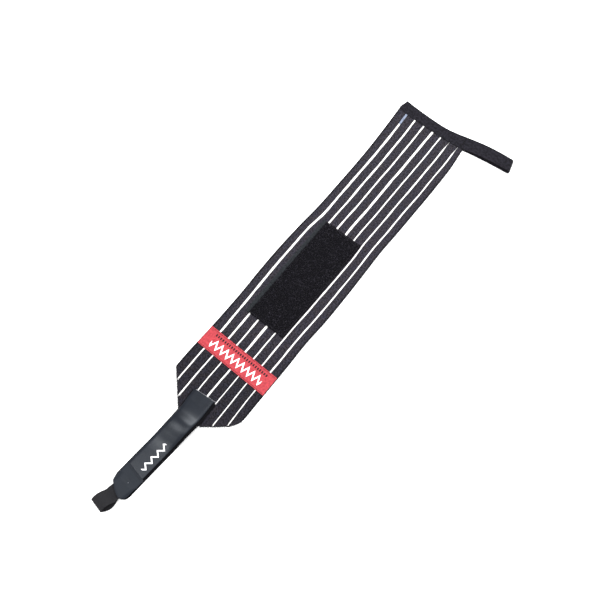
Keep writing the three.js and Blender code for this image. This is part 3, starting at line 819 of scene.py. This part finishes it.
class WRAP_OT_label(WrapPiece, bpy.types.Operator):
    """Build the woven label with its zigzag line and its row of dashes"""

    bl_idname = "wrap.label"
    bl_label = "Label"

    THICKNESS = 0.55
    LIFT = 0.08
    FOLD = 0.22
    SAG = 0.13
    SEAM_INSET = 1.1
    SEAM_REACH = 0.96
    MOTIF_CENTRE = 8.6
    MOTIF_HALF = 3.6
    MOTIF_PITCH = 6.4
    MOTIF_REACH = 0.76
    DASH_LINE = 16.6
    DASH_PITCH = 2.6
    DASH_SIZE = (2.4, 1.3, 0.1)

    def top(self, out, share):
        """A point of the label's face, out from its edge on the strap's side."""
        x = LABEL_START + out + share * LABEL_SLANT / 2
        y = band_line(x, share)
        fold = self.FOLD * (1 - ease(min(out, LABEL_WIDTH - out), 1.4, 2.4))
        cycle = (share * HALF_BAND / RIB_PITCH) % 1
        sag = self.SAG * (1 - ease(min(cycle, 1 - cycle), 0.04, 0.2))
        pucker = 0.12 * wander(x, y, 5, 2.0) + 0.05 * wander(x, y, 2, 6.0)
        return x, y, band_top(x, y) + self.LIFT + self.THICKNESS + fold - sag + pucker

    def execute(self, context):
        reach = 1 - LABEL_MARGIN / HALF_BAND
        bm = woven_grid(
            steps(0, LABEL_WIDTH, 28), steps(-reach, reach, 120), self.top,
            lambda out, share: (out, share * HALF_BAND),
        )
        # Damask label weave of fine dyed polyester: even ground with a slight sheen and faint cross lines
        ground = woven_material(
            "damask_label_weave", self.colours.label_shade, self.colours.label,
            along_mm=0.8, across_mm=0.6, depth_mm=0.06, roughness=0.6, sheen=0.1, specular=0.3,
            speckle_mm=2.2, speckle_share=0.75, contrast=0.14,
        )
        label = finished("label_satin", bm, ground, ("label",))
        thicken(label, self.THICKNESS, 0.15)
        motif, dashes, seam = self.motif(), self.dashes(), self.seam()
        return {"FINISHED"}

    def motif(self):
        """A zigzag line of white yarn, set in the side that the strap is on."""
        half_line = chosen("zigzag") / 2 / math.cos(math.atan2(self.MOTIF_PITCH / 2, self.MOTIF_HALF))
        rows = steps(-self.MOTIF_REACH, self.MOTIF_REACH, 240)

        def place(offset, share):
            cycle = (share * HALF_BAND / self.MOTIF_PITCH) % 1
            swing = (4 * abs(cycle - 0.5) - 1) * self.MOTIF_HALF
            x, y, z = self.top(self.MOTIF_CENTRE + swing + offset * half_line, share)
            return x, y, z + 0.05

        bm = woven_grid(
            steps(-1, 1, 4), rows, place, lambda offset, share: (offset * half_line, share * HALF_BAND),
        )
        # The same damask weave in undyed yarn: brighter than its ground and a little raised
        white = woven_material(
            "damask_motif_weave", *yarns(self.colours.motif, 0.9),
            along_mm=0.8, across_mm=0.6, depth_mm=0.05, roughness=0.6,
        )
        return thicken(finished("label_motif", bm, white), 0.2, 0.04)

    def dashes(self):
        """A row of small dark dashes, near the side that the patch is on."""
        bm = bmesh.new()
        bmesh.ops.create_grid(bm, x_segments=1, y_segments=2, size=0.5)
        length, width, height = [size * MM for size in self.DASH_SIZE]
        bmesh.ops.scale(bm, vec=(length, width, 1), verts=bm.verts[:])
        rim = bmesh.ops.extrude_face_region(bm, geom=bm.faces[:])
        raised = [item for item in rim["geom"] if isinstance(item, bmesh.types.BMVert)]
        bmesh.ops.translate(bm, vec=(0, 0, height), verts=raised)
        count = int(2 * HALF_BAND * self.MOTIF_REACH / self.DASH_PITCH)
        shares = steps(-self.MOTIF_REACH, self.MOTIF_REACH, count)
        places = [Matrix.Translation(in_frame(*self.top(self.DASH_LINE, share))) for share in shares]
        # Dashes of the label's own weave in black yarn
        black = plain_fibre("damask_black_yarn", linear("#17151a"))
        return repeated("label_dashes", bm, places, black)

    def seam(self):
        rows = []
        for out in (self.SEAM_INSET, LABEL_WIDTH - self.SEAM_INSET):
            rows += stitch_row(self.top, (out, -self.SEAM_REACH), (out, self.SEAM_REACH), chosen("stitch"))
        # Sewing thread of spun polyester, dyed to match the label
        thread = plain_fibre("label_thread", shaded(self.colours.label, 0.3))
        return sewn("label_stitches", rows, thread, 0.32)


class WRAP_OT_patch(WrapPiece, bpy.types.Operator):
    """Build the pile patch: its tape, its loops and its seam"""

    bl_idname = "wrap.patch"
    bl_label = "Loop patch"

    TAPE = 0.6
    BED = 0.55
    COLUMN = 1.1
    SEAM_INSET = 1.6
    SEAM_ON_SELVEDGE = 1.4
    LOOPS_SINK = 0.15
    LIFT = 0.1

    def __init__(self, *args, **kwargs):
        super().__init__(*args, **kwargs)
        self.near = PATCH_OFFSET - PATCH_WIDTH / 2
        self.far = self.near + PATCH_WIDTH

    def top(self, x, y):
        """The tape's face: lumpy where the pile grows, flat on the selvedge."""
        sides = min(y - self.near, x - PATCH_START, PATCH_START + PATCH_LENGTH - x)
        edge = min(self.far - y, sides + 0.6)
        pile = ease(edge, -0.2, 1.2)
        lumps = 0.6 * wander(x, y, 3.2, 1.0) + 0.5 * wander(x, y, 1.7, 4.0)
        return x, y, band_top(x, y) + self.LIFT + self.TAPE + pile * self.BED * (1 + 0.35 * lumps)

    def execute(self, context):
        outer = self.far + SELVEDGE_WIDTH
        columns = steps(PATCH_START, PATCH_START + PATCH_LENGTH, round(PATCH_LENGTH / self.COLUMN))
        rows = steps(self.near, self.far, 44) + steps(self.far, outer, 4)[1:]
        bm = woven_grid(columns, rows, self.top, lambda x, y: (x, y))
        # Nylon tape that carries the pile, woven and heat-set: flat, dark grey and dull at its bare edge
        selvedge = woven_material(
            "heat_set_selvedge", *yarns(self.colours.selvedge, 0.4),
            along_mm=1.0, across_mm=0.8, depth_mm=0.08, roughness=0.85, specular=0.08,
            speckle_share=0.85, contrast=0.1,
        )
        # Nylon ground that the pile grows from: matt black, seen only between the loops
        dark = shaded(self.colours.pile, 0.35)
        bed = plain_fibre("pile_bed", dark, roughness=1.0, specular=0.05, spread=0.4, size_mm=1.5)
        tape = finished("pile_tape", bm, selvedge, ("loop_patch",))
        tape.data.materials.append(bed)
        for face in tape.data.polygons:
            middle = (face.center - ORIGIN) / MM
            face.material_index = 1 if middle.y < self.far - 0.2 else 0
        thicken(tape, self.TAPE, 0.15)
        loops, seam = self.loops(), self.seam()
        return {"FINISHED"}

    def loops(self):
        """Brushed loops, each an arch of fibre that leans its own way."""
        draw = random.Random(11)
        places = []
        for _ in range(self.sizes.pile_loops):
            x = PATCH_START + draw.uniform(0.5, PATCH_LENGTH - 0.5)
            y = draw.uniform(self.near + 0.5, self.far - 0.4)
            spot = in_frame(*self.top(x, y)) - UP * self.LOOPS_SINK * MM
            turn = Matrix.Rotation(draw.uniform(0, 2 * math.pi), 4, "Z")
            lean = Matrix.Rotation(math.radians(draw.gauss(0, 32)), 4, "X")
            size = draw.uniform(0.65, 1.15)
            places.append(Matrix.Translation(spot) @ turn @ lean @ Matrix.Scale(size, 4))
        template = thread_arc(chosen("pile_height") * 1.25, 0.085, sides=3, spans=4, sweep=220)
        return repeated("pile_loops", template, places, self.fibre())

    def fibre(self):
        """Brushed nylon loops, dyed black: near-black, with painted highlights in patches that stand in for
        the light caught on curls of single fibres.
        """
        gloss = {"Roughness": 0.5, "Specular IOR Level": 0.2}
        material, tree, shader = new_material("brushed_nylon_loops", gloss)
        spot = add_node(tree, "TexCoord").outputs["Object"]
        painted_glints = add_node(
            tree, "TexNoise", {"Vector": spot, "Scale": cells(2.4), "Detail": 3, "Roughness": 0.7},
        )
        dark, light = rgba(shaded(self.colours.pile, 0.35)), rgba(shaded(self.colours.pile, 4.4))
        shade = blend(tree, painted_glints.outputs["Fac"], 0.48, 0.64, dark, light)
        tree.links.new(shade, shader.inputs["Base Color"])
        return material

    def seam(self):
        low, high = PATCH_START + self.SEAM_INSET, PATCH_START + PATCH_LENGTH - self.SEAM_INSET
        near, far = self.near + self.SEAM_INSET, self.far + self.SEAM_ON_SELVEDGE
        sides = (
            ((low, near), (high, near)), ((low, far), (high, far)),
            ((low, near), (low, far)), ((high, near), (high, far)),
        )
        rows = []
        for start, end in sides:
            rows += stitch_row(self.top, start, end, chosen("stitch") * 1.25)
        # Sewing thread of bonded nylon, dyed black, sunk in the pile
        thread = plain_fibre("patch_thread", linear("#1b1a1f"))
        return sewn("patch_stitches", rows, thread, 0.42)


# How far the upper layer lies aside on its hook tape, in millimetres, and its share of the full width
STRAP_ASIDE = 0.8
STRAP_NARROWER = 0.94
# How far its sides roll down, and how far its middle stands up when flat and on the hump, in millimetres
STRAP_ROLL = 0.45
STRAP_CROWN = 0.25
STRAP_HUMP_CROWN = 0.8


def strap_face(distance, across):
    """The face of the strap's upper layer, with its sides rolled down."""
    x, y, z = strap_point(distance, across * STRAP_NARROWER, 0, HOOK_THICKNESS + CLEARANCE + STRAP_THICKNESS)
    width = strap_lay(distance)[2]
    roll = STRAP_ROLL * (1 - ease((0.5 - abs(across)) * width, 0, 2.2))
    crown = STRAP_CROWN + STRAP_HUMP_CROWN * max(0, strap_hump(distance / STRAP_LENGTH))
    crown *= 1 - (2 * across) ** 2
    return x, y + STRAP_ASIDE, z - roll - 0.1 + crown


class WRAP_OT_strap(WrapPiece, bpy.types.Operator):
    """Build the smooth upper layer of the closing strap, the seam at its sewn end and its printed line"""

    bl_idname = "wrap.strap"
    bl_label = "Strap"

    COLUMNS = 120
    ROWS = 20
    # The printed zigzag: from, to and pitch in millimetres, the others as shares of the strap's width
    PRINT = {"from": 55.5, "to": 86.0, "pitch": 7.6, "across": 0.2, "half": 0.105, "line": 0.045}
    ROOT_SEAM = 0.7

    def execute(self, context):
        def place(part, across):
            start = -across * STRAP_ROOT_SLANT
            end = STRAP_LENGTH + across * PAD_SLANT - 0.1
            return strap_face(lerp(start, end, part), across)

        bm = woven_grid(
            steps(0, 1, self.COLUMNS), steps(0.5, -0.5, self.ROWS), place,
            lambda part, across: (part * STRAP_LENGTH, across * STRAP_WIDTH),
        )
        # Polyurethane-coated microfibre, calendered: a smooth skin with wide soft highlights on its bends
        coat = coated_fabric(
            "calendered_polyurethane", self.colours.strap,
            roughness=0.33, grain_mm=0.7, depth_mm=0.02, specular=0.24,
        )
        strap = finished("strap_coated", bm, coat, ("strap_top",))
        thicken(strap, STRAP_THICKNESS - 0.2, 0.35)
        line, root = self.printed_line(), self.root_seam()
        return {"FINISHED"}

    def printed_line(self):
        """A zigzag printed near the strap's near side."""
        spec = self.PRINT

        def place(distance, offset):
            cycle = (distance / spec["pitch"]) % 1
            swing = (4 * abs(cycle - 0.5) - 1) * spec["half"]
            x, y, z = strap_face(distance, spec["across"] + swing + offset * spec["line"])
            return x, y, z + 0.07

        bm = woven_grid(
            steps(spec["from"], spec["to"], 160), steps(1, -1, 2), place,
            lambda distance, offset: (distance, offset),
        )
        # Screen-printed ink, white and opaque: flat on the coat, with its own dull finish
        ink = plain_fibre("screen_print_ink", self.colours.motif, roughness=0.6, specular=0.3, spread=0.03)
        return thicken(finished("strap_print", bm, ink), 0.06, 0.02)

    def root_seam(self):
        """The lighter thread that shows along the sewn end."""
        def surface(out, across):
            x, y, z = strap_point(-across * STRAP_ROOT_SLANT, across, 0, 0)
            return x + out, y, band_top(x, y) + 0.1

        rows = stitch_row(surface, (self.ROOT_SEAM, -0.46), (self.ROOT_SEAM, 0.5), chosen("stitch") * 0.9)
        # Sewing thread of spun polyester, left grey: the one light line on the strap
        thread = plain_fibre("root_thread", linear("#a3a3a9"), roughness=0.6)
        return sewn("root_stitches", rows, thread, 0.4)


class WRAP_OT_hook_tape(WrapPiece, bpy.types.Operator):
    """Build the hook tape under the strap, with its hooks"""

    bl_idname = "wrap.hook_tape"
    bl_label = "Hook tape"

    BASE = 0.55
    LEVEL = HOOK_THICKNESS - 0.05
    # Rows across the tape, closer where its end curves
    ROWS = (0, 0.02, 0.05, 0.1, *steps(0.17, 0.7, 10), 0.76, 0.81, 0.87, 0.92, 0.96, 0.98, 1)

    def point(self, part, across, height):
        start = HOOK_INSET - across * STRAP_ROOT_SLANT
        end = STRAP_LENGTH + pad_reach(across + 0.5) * PAD_LENGTH - HOOK_INSET
        return strap_point(lerp(start, end, part), across, 2 * HOOK_MARGIN, height)

    def execute(self, context):
        rows = [share - 0.5 for share in self.ROWS]
        bm = woven_grid(
            steps(0, 1, 110), rows[::-1], lambda part, across: self.point(part, across, self.LEVEL),
            lambda part, across: (part * STRAP_LENGTH, across * STRAP_WIDTH),
        )
        # Nylon hook tape, woven and resin-backed: a dull black margin beside the paler strap
        woven = woven_material(
            "resin_backed_nylon", *yarns(self.colours.hook, 0.5),
            along_mm=0.9, across_mm=0.7, depth_mm=0.08, roughness=0.7, specular=0.04,
        )
        tape = finished("hook_tape_woven", bm, woven, ("hook_tape",))
        thicken(tape, self.BASE, 0.2)
        hooks = self.hooks()
        return {"FINISHED"}

    def hooks(self):
        """Rows of nylon hooks on the underside."""
        draw = random.Random(5)
        places = []
        for _ in range(self.sizes.hooks):
            part, across = draw.uniform(0.25, 0.97), draw.uniform(-0.46, 0.46)
            spot = in_frame(*self.point(part, across, self.LEVEL - self.BASE))
            turn = Matrix.Rotation(draw.choice((0, math.pi)) + draw.gauss(0, 0.2), 4, "Z")
            places.append(Matrix.Translation(spot) @ turn @ Matrix.Rotation(math.pi, 4, "X"))
        template = thread_arc(0.55, 0.09, sides=3, spans=3, sweep=230)
        # Nylon thread, drawn and cut into hooks: hard, black and a little shiny
        nylon = plain_fibre("drawn_nylon_hooks", self.colours.hook, roughness=0.4, specular=0.4)
        return repeated("hook_field", template, places, nylon)


# The pull loop's own line, in millimetres

PULL_DIRECTION = math.radians(180 - PULL_ANGLE)
PULL_OUT = Vector((math.cos(PULL_DIRECTION), math.sin(PULL_DIRECTION), 0))
PULL_ACROSS = UP.cross(PULL_OUT)
TONGUE_FLOOR = HOOK_THICKNESS + CLEARANCE
TONGUE_TOP = TONGUE_FLOOR + 2 * PULL_THICKNESS + CLEARANCE


def pull_root():
    x, y, _, _ = strap_lay(STRAP_LENGTH + pad_reach(PULL_PLACE) * PAD_LENGTH)
    return Vector((x, y + PULL_OFFSET, 0)) + PULL_OUT * PULL_START


PULL_ROOT = pull_root()


def through(points, count):
    """Evenly spaced points on the centripetal curve through these points, as pairs of out and height."""
    ends = [2 * points[0] - points[1], *points, 2 * points[-1] - points[-2]]
    fine = []
    for before, start, end, after in zip(ends, ends[1:], ends[2:], ends[3:]):
        pairs = ((before, start), (start, end), (end, after))
        first, mid, last = [max(1e-4, (b - a).length) ** 0.5 for a, b in pairs]
        start_pull = ((start - before) / first - (end - before) / (first + mid) + (end - start) / mid) * mid
        end_pull = ((end - start) / mid - (after - start) / (mid + last) + (after - end) / last) * mid
        for p in steps(0, 1, 24)[:-1]:
            fine.append(
                start * (2 * p ** 3 - 3 * p ** 2 + 1) + end * (3 * p ** 2 - 2 * p ** 3)
                + start_pull * (p ** 3 - 2 * p ** 2 + p) + end_pull * (p ** 3 - p ** 2)
            )
    fine.append(points[-1])
    lengths = np.cumsum([0] + [(b - a).length for a, b in zip(fine, fine[1:])])
    wanted = np.linspace(0, lengths[-1], count + 1)
    outs = np.interp(wanted, lengths, [point.x for point in fine])
    heights = np.interp(wanted, lengths, [point.y for point in fine])
    return [Vector(pair) for pair in zip(outs, heights)], float(lengths[-1])


def ribbon_frames(path):
    """Each point of a path with the direction that the path has there."""
    last = len(path) - 1
    return [
        (point, (path[min(last, index + 1)] - path[max(0, index - 1)]).normalized(), index)
        for index, point in enumerate(path)
    ]


class WRAP_OT_pull_loop(WrapPiece, bpy.types.Operator):
    """Build the webbing loop that pulls the strap"""

    bl_idname = "wrap.pull_loop"
    bl_label = "Pull loop"

    STATIONS = 90
    THICKNESS = 0.85
    BULGE = 2.4

    def execute(self, context):
        half = PULL_THICKNESS / 2
        points = [Vector((-PULL_TONGUE, TONGUE_FLOOR + half)), Vector((0, TONGUE_FLOOR + half))]
        points += [
            Vector((out * (PULL_REACH - half), half + rise * (PULL_HEIGHT - PULL_THICKNESS)))
            for out, rise in zip(PULL_PATH["out"], PULL_PATH["rise"])
        ]
        points += [Vector((0, TONGUE_TOP - half)), Vector((-PULL_TONGUE, TONGUE_TOP - half))]
        path, length = through(points, self.STATIONS)

        def place(station, across):
            point, way, _ = station
            side = self.THICKNESS / 2 * (1 - 0.35 * (2 * across / PULL_WIDTH) ** 8)
            lower = 1 - clamp(point.y / PULL_HEIGHT)
            bulge = self.BULGE * lower * math.sin(math.pi * clamp(point.x / PULL_REACH))
            spot = PULL_ROOT + PULL_OUT * (point.x - way.y * side) + PULL_ACROSS * (across + bulge)
            return spot.x, spot.y, max(self.THICKNESS, point.y + way.x * side)

        bm = woven_grid(
            ribbon_frames(path), steps(PULL_WIDTH / 2, -PULL_WIDTH / 2, 14), place,
            lambda station, across: (station[2] / self.STATIONS * length, across),
        )
        # Polyester webbing, plain woven on a narrow loom: dull dark grey with ridges across it
        webbing = woven_material(
            "narrow_polyester_webbing", *yarns(self.colours.webbing, 0.6),
            along_mm=1.2, across_mm=0.9, depth_mm=0.16, roughness=0.85, specular=0.2,
        )
        loop = finished("pull_webbing", bm, webbing, ("pull_loop",))
        thicken(loop, self.THICKNESS, 0.2)
        return {"FINISHED"}


class WRAP_OT_pad(WrapPiece, bpy.types.Operator):
    """Build the pad that ends the strap and drapes over the webbing's ends"""

    bl_idname = "wrap.pad"
    bl_label = "End pad"

    SEAM_PART = 0.07
    KNOT_PLACE = (0.45, 0.62)
    # Rows across the pad, closer at its sides
    ROWS = (
        0, 0.012, 0.03, 0.05, 0.09, 0.13, *steps(0.17, 0.7, 14),
        0.74, 0.78, 0.81, 0.85, 0.89, 0.92, 0.95, 0.97, 0.985, 1,
    )

    def cover(self, x, y):
        """1 over the webbing's ends, 0 where the pad lies on the hook tape again."""
        place = Vector((x, y, 0)) - PULL_ROOT
        aside = abs(place.dot(PULL_ACROSS)) - PULL_WIDTH / 2
        before = -place.dot(PULL_OUT) - PULL_TONGUE
        away = math.hypot(max(aside, 0), max(before, 0))
        return 1 - ease(away, 0, PAD_GATHER * 2.1)

    def face(self, part, side):
        across = side - 0.5
        start = STRAP_LENGTH + across * PAD_SLANT
        end = STRAP_LENGTH + pad_reach(side) * PAD_LENGTH
        distance = lerp(start, end, part)
        x, y, z = strap_point(distance, across, 0, 0)
        width = strap_lay(distance)[2]
        rim = min(side * width, (1 - side) * width, (1 - part) * (end - start))
        roll = 0.35 * (1 - ease(rim, 0, 1.8)) + 0.3 * (1 - ease(distance - start, 0, 1.2))
        raised = (TONGUE_TOP - TONGUE_FLOOR + CLEARANCE) * self.cover(x, y)
        return x, y, z + TONGUE_FLOOR + raised + PAD_THICKNESS - roll

    def execute(self, context):
        bm = woven_grid(
            steps(0, 1, 44), self.ROWS[::-1], self.face,
            lambda part, side: (part * PAD_LENGTH, side * STRAP_WIDTH),
        )
        # Thermoplastic rubber on a fabric backing, moulded with a fine grain: duller than the strap
        coat = coated_fabric(
            "grained_thermoplastic_rubber", self.colours.pad,
            roughness=0.55, grain_mm=0.45, depth_mm=0.04, specular=0.2,
        )
        pad = finished("end_pad", bm, coat, ("strap_end_pad",))
        thicken(pad, PAD_THICKNESS - 0.15, 0.35)
        rows = stitch_row(self.face, (self.SEAM_PART, 0.06), (self.SEAM_PART, 0.94), chosen("stitch"))
        # Sewing thread of spun polyester, dyed black: it hardly shows on the coat
        thread = plain_fibre("pad_thread", linear("#1c1d22"), roughness=0.6)
        seam = sewn("pad_stitches", rows, thread, 0.34)
        knot = self.knot()
        return {"FINISHED"}

    def knot(self):
        """The small light end of a thread that shows in the pad's middle."""
        spot = Matrix.Translation(in_frame(*self.face(*self.KNOT_PLACE)))
        # The same thread, cut and frayed: a pale speck
        thread = plain_fibre("knot_thread", linear("#6d7076"), roughness=0.6)
        return repeated("pad_thread_end", thread_arc(1.0, 0.22), [spot], thread)


TAPE_START = band_line(TAPE_EDGE, 1) + TAPE_OVERHANG
TAPE_RUN = TAPE_START - band_line(TAPE_EDGE, -1) + THUMB_LENGTH


class WRAP_OT_thumb_loop(WrapPiece, bpy.types.Operator):
    """Build the folded tape that binds the band's end and forms the thumb loop"""

    bl_idname = "wrap.thumb_loop"
    bl_label = "Thumb loop"

    THICKNESS = 0.9
    STEP = 1.6
    SEAM_START = 2.5
    SEAM_LINES = (-0.36, 0.02)
    TACK_BEFORE = 4.5
    TACK_PITCH = 0.6
    TACK_WIDTH = 1.6

    def layer(self, out):
        """Height of the upper layer's middle."""
        half = TAPE_THICKNESS / 2
        closed = BAND_THICKNESS + 2 * CLEARANCE
        opened = clamp(tape_rise(out / TAPE_RUN))
        return TAPE_THICKNESS + half + lerp(closed, THUMB_OPENING, opened)

    def path(self):
        half = TAPE_THICKNESS / 2
        radius = (THUMB_OPENING + TAPE_THICKNESS) / 2
        bend = TAPE_RUN - radius - half
        count = round(bend / self.STEP)
        lower = [Vector((out, half)) for out in steps(0, bend, count)]
        fold = []
        for degrees in steps(-90, 90, 16)[1:-1]:
            turn = math.radians(degrees)
            fold.append(Vector((bend + radius * math.cos(turn), half + radius + radius * math.sin(turn))))
        upper = [Vector((out, self.layer(out))) for out in steps(bend, 0, count)]
        return lower + fold + upper

    def spot(self, straight_out, across, height):
        """A point of the tape at this run from its far end. across runs from -0.5 inside to 0.5 outside."""
        start = (across + 0.5) * TAPE_CORNER * (1 - straight_out / TAPE_RUN)
        out = straight_out * (1 - across * THUMB_SLANT / TAPE_RUN) + start
        at = out / TAPE_RUN
        x = TAPE_EDGE + (tape_edge(at) + (across + 0.5) * tape_width(at)) * TAPE_WIDTH
        return x, TAPE_START - out, height

    def execute(self, context):
        def place(station, across):
            point, way, _ = station
            side = self.THICKNESS / 2
            ripple = 0.1 * wander(point.x, point.y * 9 + across * 6, 7, 2.0)
            height = max(self.THICKNESS, point.y + way.x * side + ripple)
            return self.spot(point.x - way.y * side, across, height)

        stations = ribbon_frames(self.path())
        lengths = np.cumsum([0] + [(b[0] - a[0]).length for a, b in zip(stations, stations[1:])])
        bm = woven_grid(
            stations, steps(0.5, -0.5, 14), place,
            lambda station, across: (float(lengths[station[2]]), across * TAPE_WIDTH),
        )
        # Woven elastic tape of covered rubber, black: matt, with fine cords along it
        elastic = woven_material(
            "covered_rubber_tape", *yarns(self.colours.tape, 0.4),
            along_mm=1.0, across_mm=0.9, depth_mm=0.12, roughness=0.9, sheen=0.03, specular=0.08,
            speckle_mm=2.4, speckle_share=0.85, contrast=0.08,
        )
        tape = finished("thumb_elastic", bm, elastic, ("thumb_loop_tape",))
        thicken(tape, self.THICKNESS, 0.2)
        seam, tack = self.seam(), self.tack()
        return {"FINISHED"}

    def on_top(self, out, across):
        return self.spot(out, across, self.layer(out) + self.THICKNESS / 2)

    def seam(self):
        """Two rows of stitches that hold the folded tape on the band's end."""
        reach = TAPE_RUN - THUMB_LENGTH - 1
        rows = []
        for across in self.SEAM_LINES:
            rows += stitch_row(self.on_top, (self.SEAM_START, across), (reach, across), chosen("stitch"))
        # Sewing thread of spun polyester, dyed with the tape: dull, a shade darker than it
        thread = plain_fibre("binding_thread", shaded(self.colours.tape, 0.9), roughness=0.85)
        return sewn("binding_stitches", rows, thread, 0.24)

    def tack(self):
        """The dense bar of stitches where the loop leaves the band."""
        out = TAPE_RUN - THUMB_LENGTH - self.TACK_BEFORE
        rows = stitch_row(self.on_top, (out, -0.42), (out, 0.42), self.TACK_PITCH, zigzag=self.TACK_WIDTH)
        # Sewing thread of spun polyester, laid so close that the bar looks black
        thread = plain_fibre("tack_thread", shaded(self.colours.tape, 0.4), roughness=0.85)
        return sewn("thumb_bar_tack", rows, thread, 0.4)


class WRAP_OT_stage(bpy.types.Operator):
    """Set the pale floor, the soft lights and the camera"""

    bl_idname = "wrap.stage"
    bl_label = "Stage"

    # The photograph looks down from 70 degrees, over the wrap's near side and strap end
    TARGET = Vector((6.8, 14.6, 0)) * MM
    CAMERA = Vector((-210.8, -159.0, 764.9)) * MM
    LENS = 51
    SENSOR = 36
    FLOOR_HALF = 6
    ROOM_LIGHT = 0.9
    # Name, place in millimetres, size in metres and power in watts
    LIGHTS = (
        ("key", (282, 10, 480), 0.3, 3.8),
        ("fill", (-375, 211, 752), 0.4, 3.8),
        ("front", (-200, -260, 900), 0.5, 3.4),
    )

    def execute(self, context):
        scene = context.scene
        scene.view_settings.view_transform = "Standard"
        self.floor()
        self.sky(scene)
        for lamp in self.LIGHTS:
            self.light(*lamp)
        camera = bpy.data.objects.new("camera", bpy.data.cameras.new("camera"))
        camera.data.lens = self.LENS
        camera.data.sensor_width = self.SENSOR
        camera.data.clip_start = 0.01
        camera.location = self.CAMERA
        camera.rotation_euler = (self.TARGET - self.CAMERA).to_track_quat("-Z", "Y").to_euler()
        scene.collection.objects.link(camera)
        scene.camera = camera
        return {"FINISHED"}

    def floor(self):
        bm = bmesh.new()
        bmesh.ops.create_grid(bm, x_segments=1, y_segments=1, size=self.FLOOR_HALF)
        mesh = bpy.data.meshes.new("studio_floor")
        bm.to_mesh(mesh)
        bm.free()
        # Matt white paper: even and without gloss
        paper, _, _ = new_material("matt_paper", {
            "Base Color": rgba(linear("#fcfcfc")), "Roughness": 1.0, "Specular IOR Level": 0.0,
        })
        mesh.materials.append(paper)
        floor = bpy.data.objects.new("studio_floor", mesh)
        bpy.context.scene.collection.objects.link(floor)
        floor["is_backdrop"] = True

    def sky(self, scene):
        world = bpy.data.worlds.new("soft_room")
        world.use_nodes = True
        back = world.node_tree.nodes["Background"]
        back.inputs["Color"].default_value = (1, 1, 1, 1)
        back.inputs["Strength"].default_value = self.ROOM_LIGHT
        scene.world = world

    def light(self, name, place_mm, size, power):
        lamp = bpy.data.lights.new(name, "AREA")
        lamp.shape = "DISK"
        lamp.size = size
        lamp.energy = power
        made = bpy.data.objects.new(name, lamp)
        made.location = Vector(place_mm) * MM
        made.rotation_euler = (self.TARGET - made.location).to_track_quat("-Z", "Y").to_euler()
        bpy.context.scene.collection.objects.link(made)


class WRAP_PT_panel(bpy.types.Panel):
    """Lists the steps and what can be changed"""

    bl_label = "Wrist wrap"
    bl_space_type = "VIEW_3D"
    bl_region_type = "UI"
    bl_category = "Wrist wrap"

    def draw(self, context):
        for group in (context.scene.wrap_sizes, context.scene.wrap_colours):
            for name in group.__annotations__:
                self.layout.prop(group, name)
        for step in STEPS:
            self.layout.operator(step.bl_idname)


STEPS = (
    WRAP_OT_stage, WRAP_OT_band, WRAP_OT_taper_edge, WRAP_OT_label, WRAP_OT_patch, WRAP_OT_hook_tape,
    WRAP_OT_strap, WRAP_OT_pull_loop, WRAP_OT_pad, WRAP_OT_thumb_loop,
)
CLASSES = (WrapSizes, WrapColours, *STEPS, WRAP_PT_panel)


def register():
    for made in CLASSES:
        bpy.utils.register_class(made)
    bpy.types.Scene.wrap_sizes = bpy.props.PointerProperty(type=WrapSizes)
    bpy.types.Scene.wrap_colours = bpy.props.PointerProperty(type=WrapColours)


def unregister():
    del bpy.types.Scene.wrap_colours
    del bpy.types.Scene.wrap_sizes
    for made in reversed(CLASSES):
        bpy.utils.unregister_class(made)


def write_sizes():
    """Works out the frame's box and the dressed object's box, and keeps neither."""
    boxes = {"cad": CAD_BOX, "visual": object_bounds()}
    {name: [list(corner) for corner in box] for name, box in boxes.items()}


def main():
    register()
    for step in STEPS:
        group, name = step.bl_idname.split(".")
        getattr(getattr(bpy.ops, group), name)()
    write_sizes()


if __name__ == "__main__":
    main()
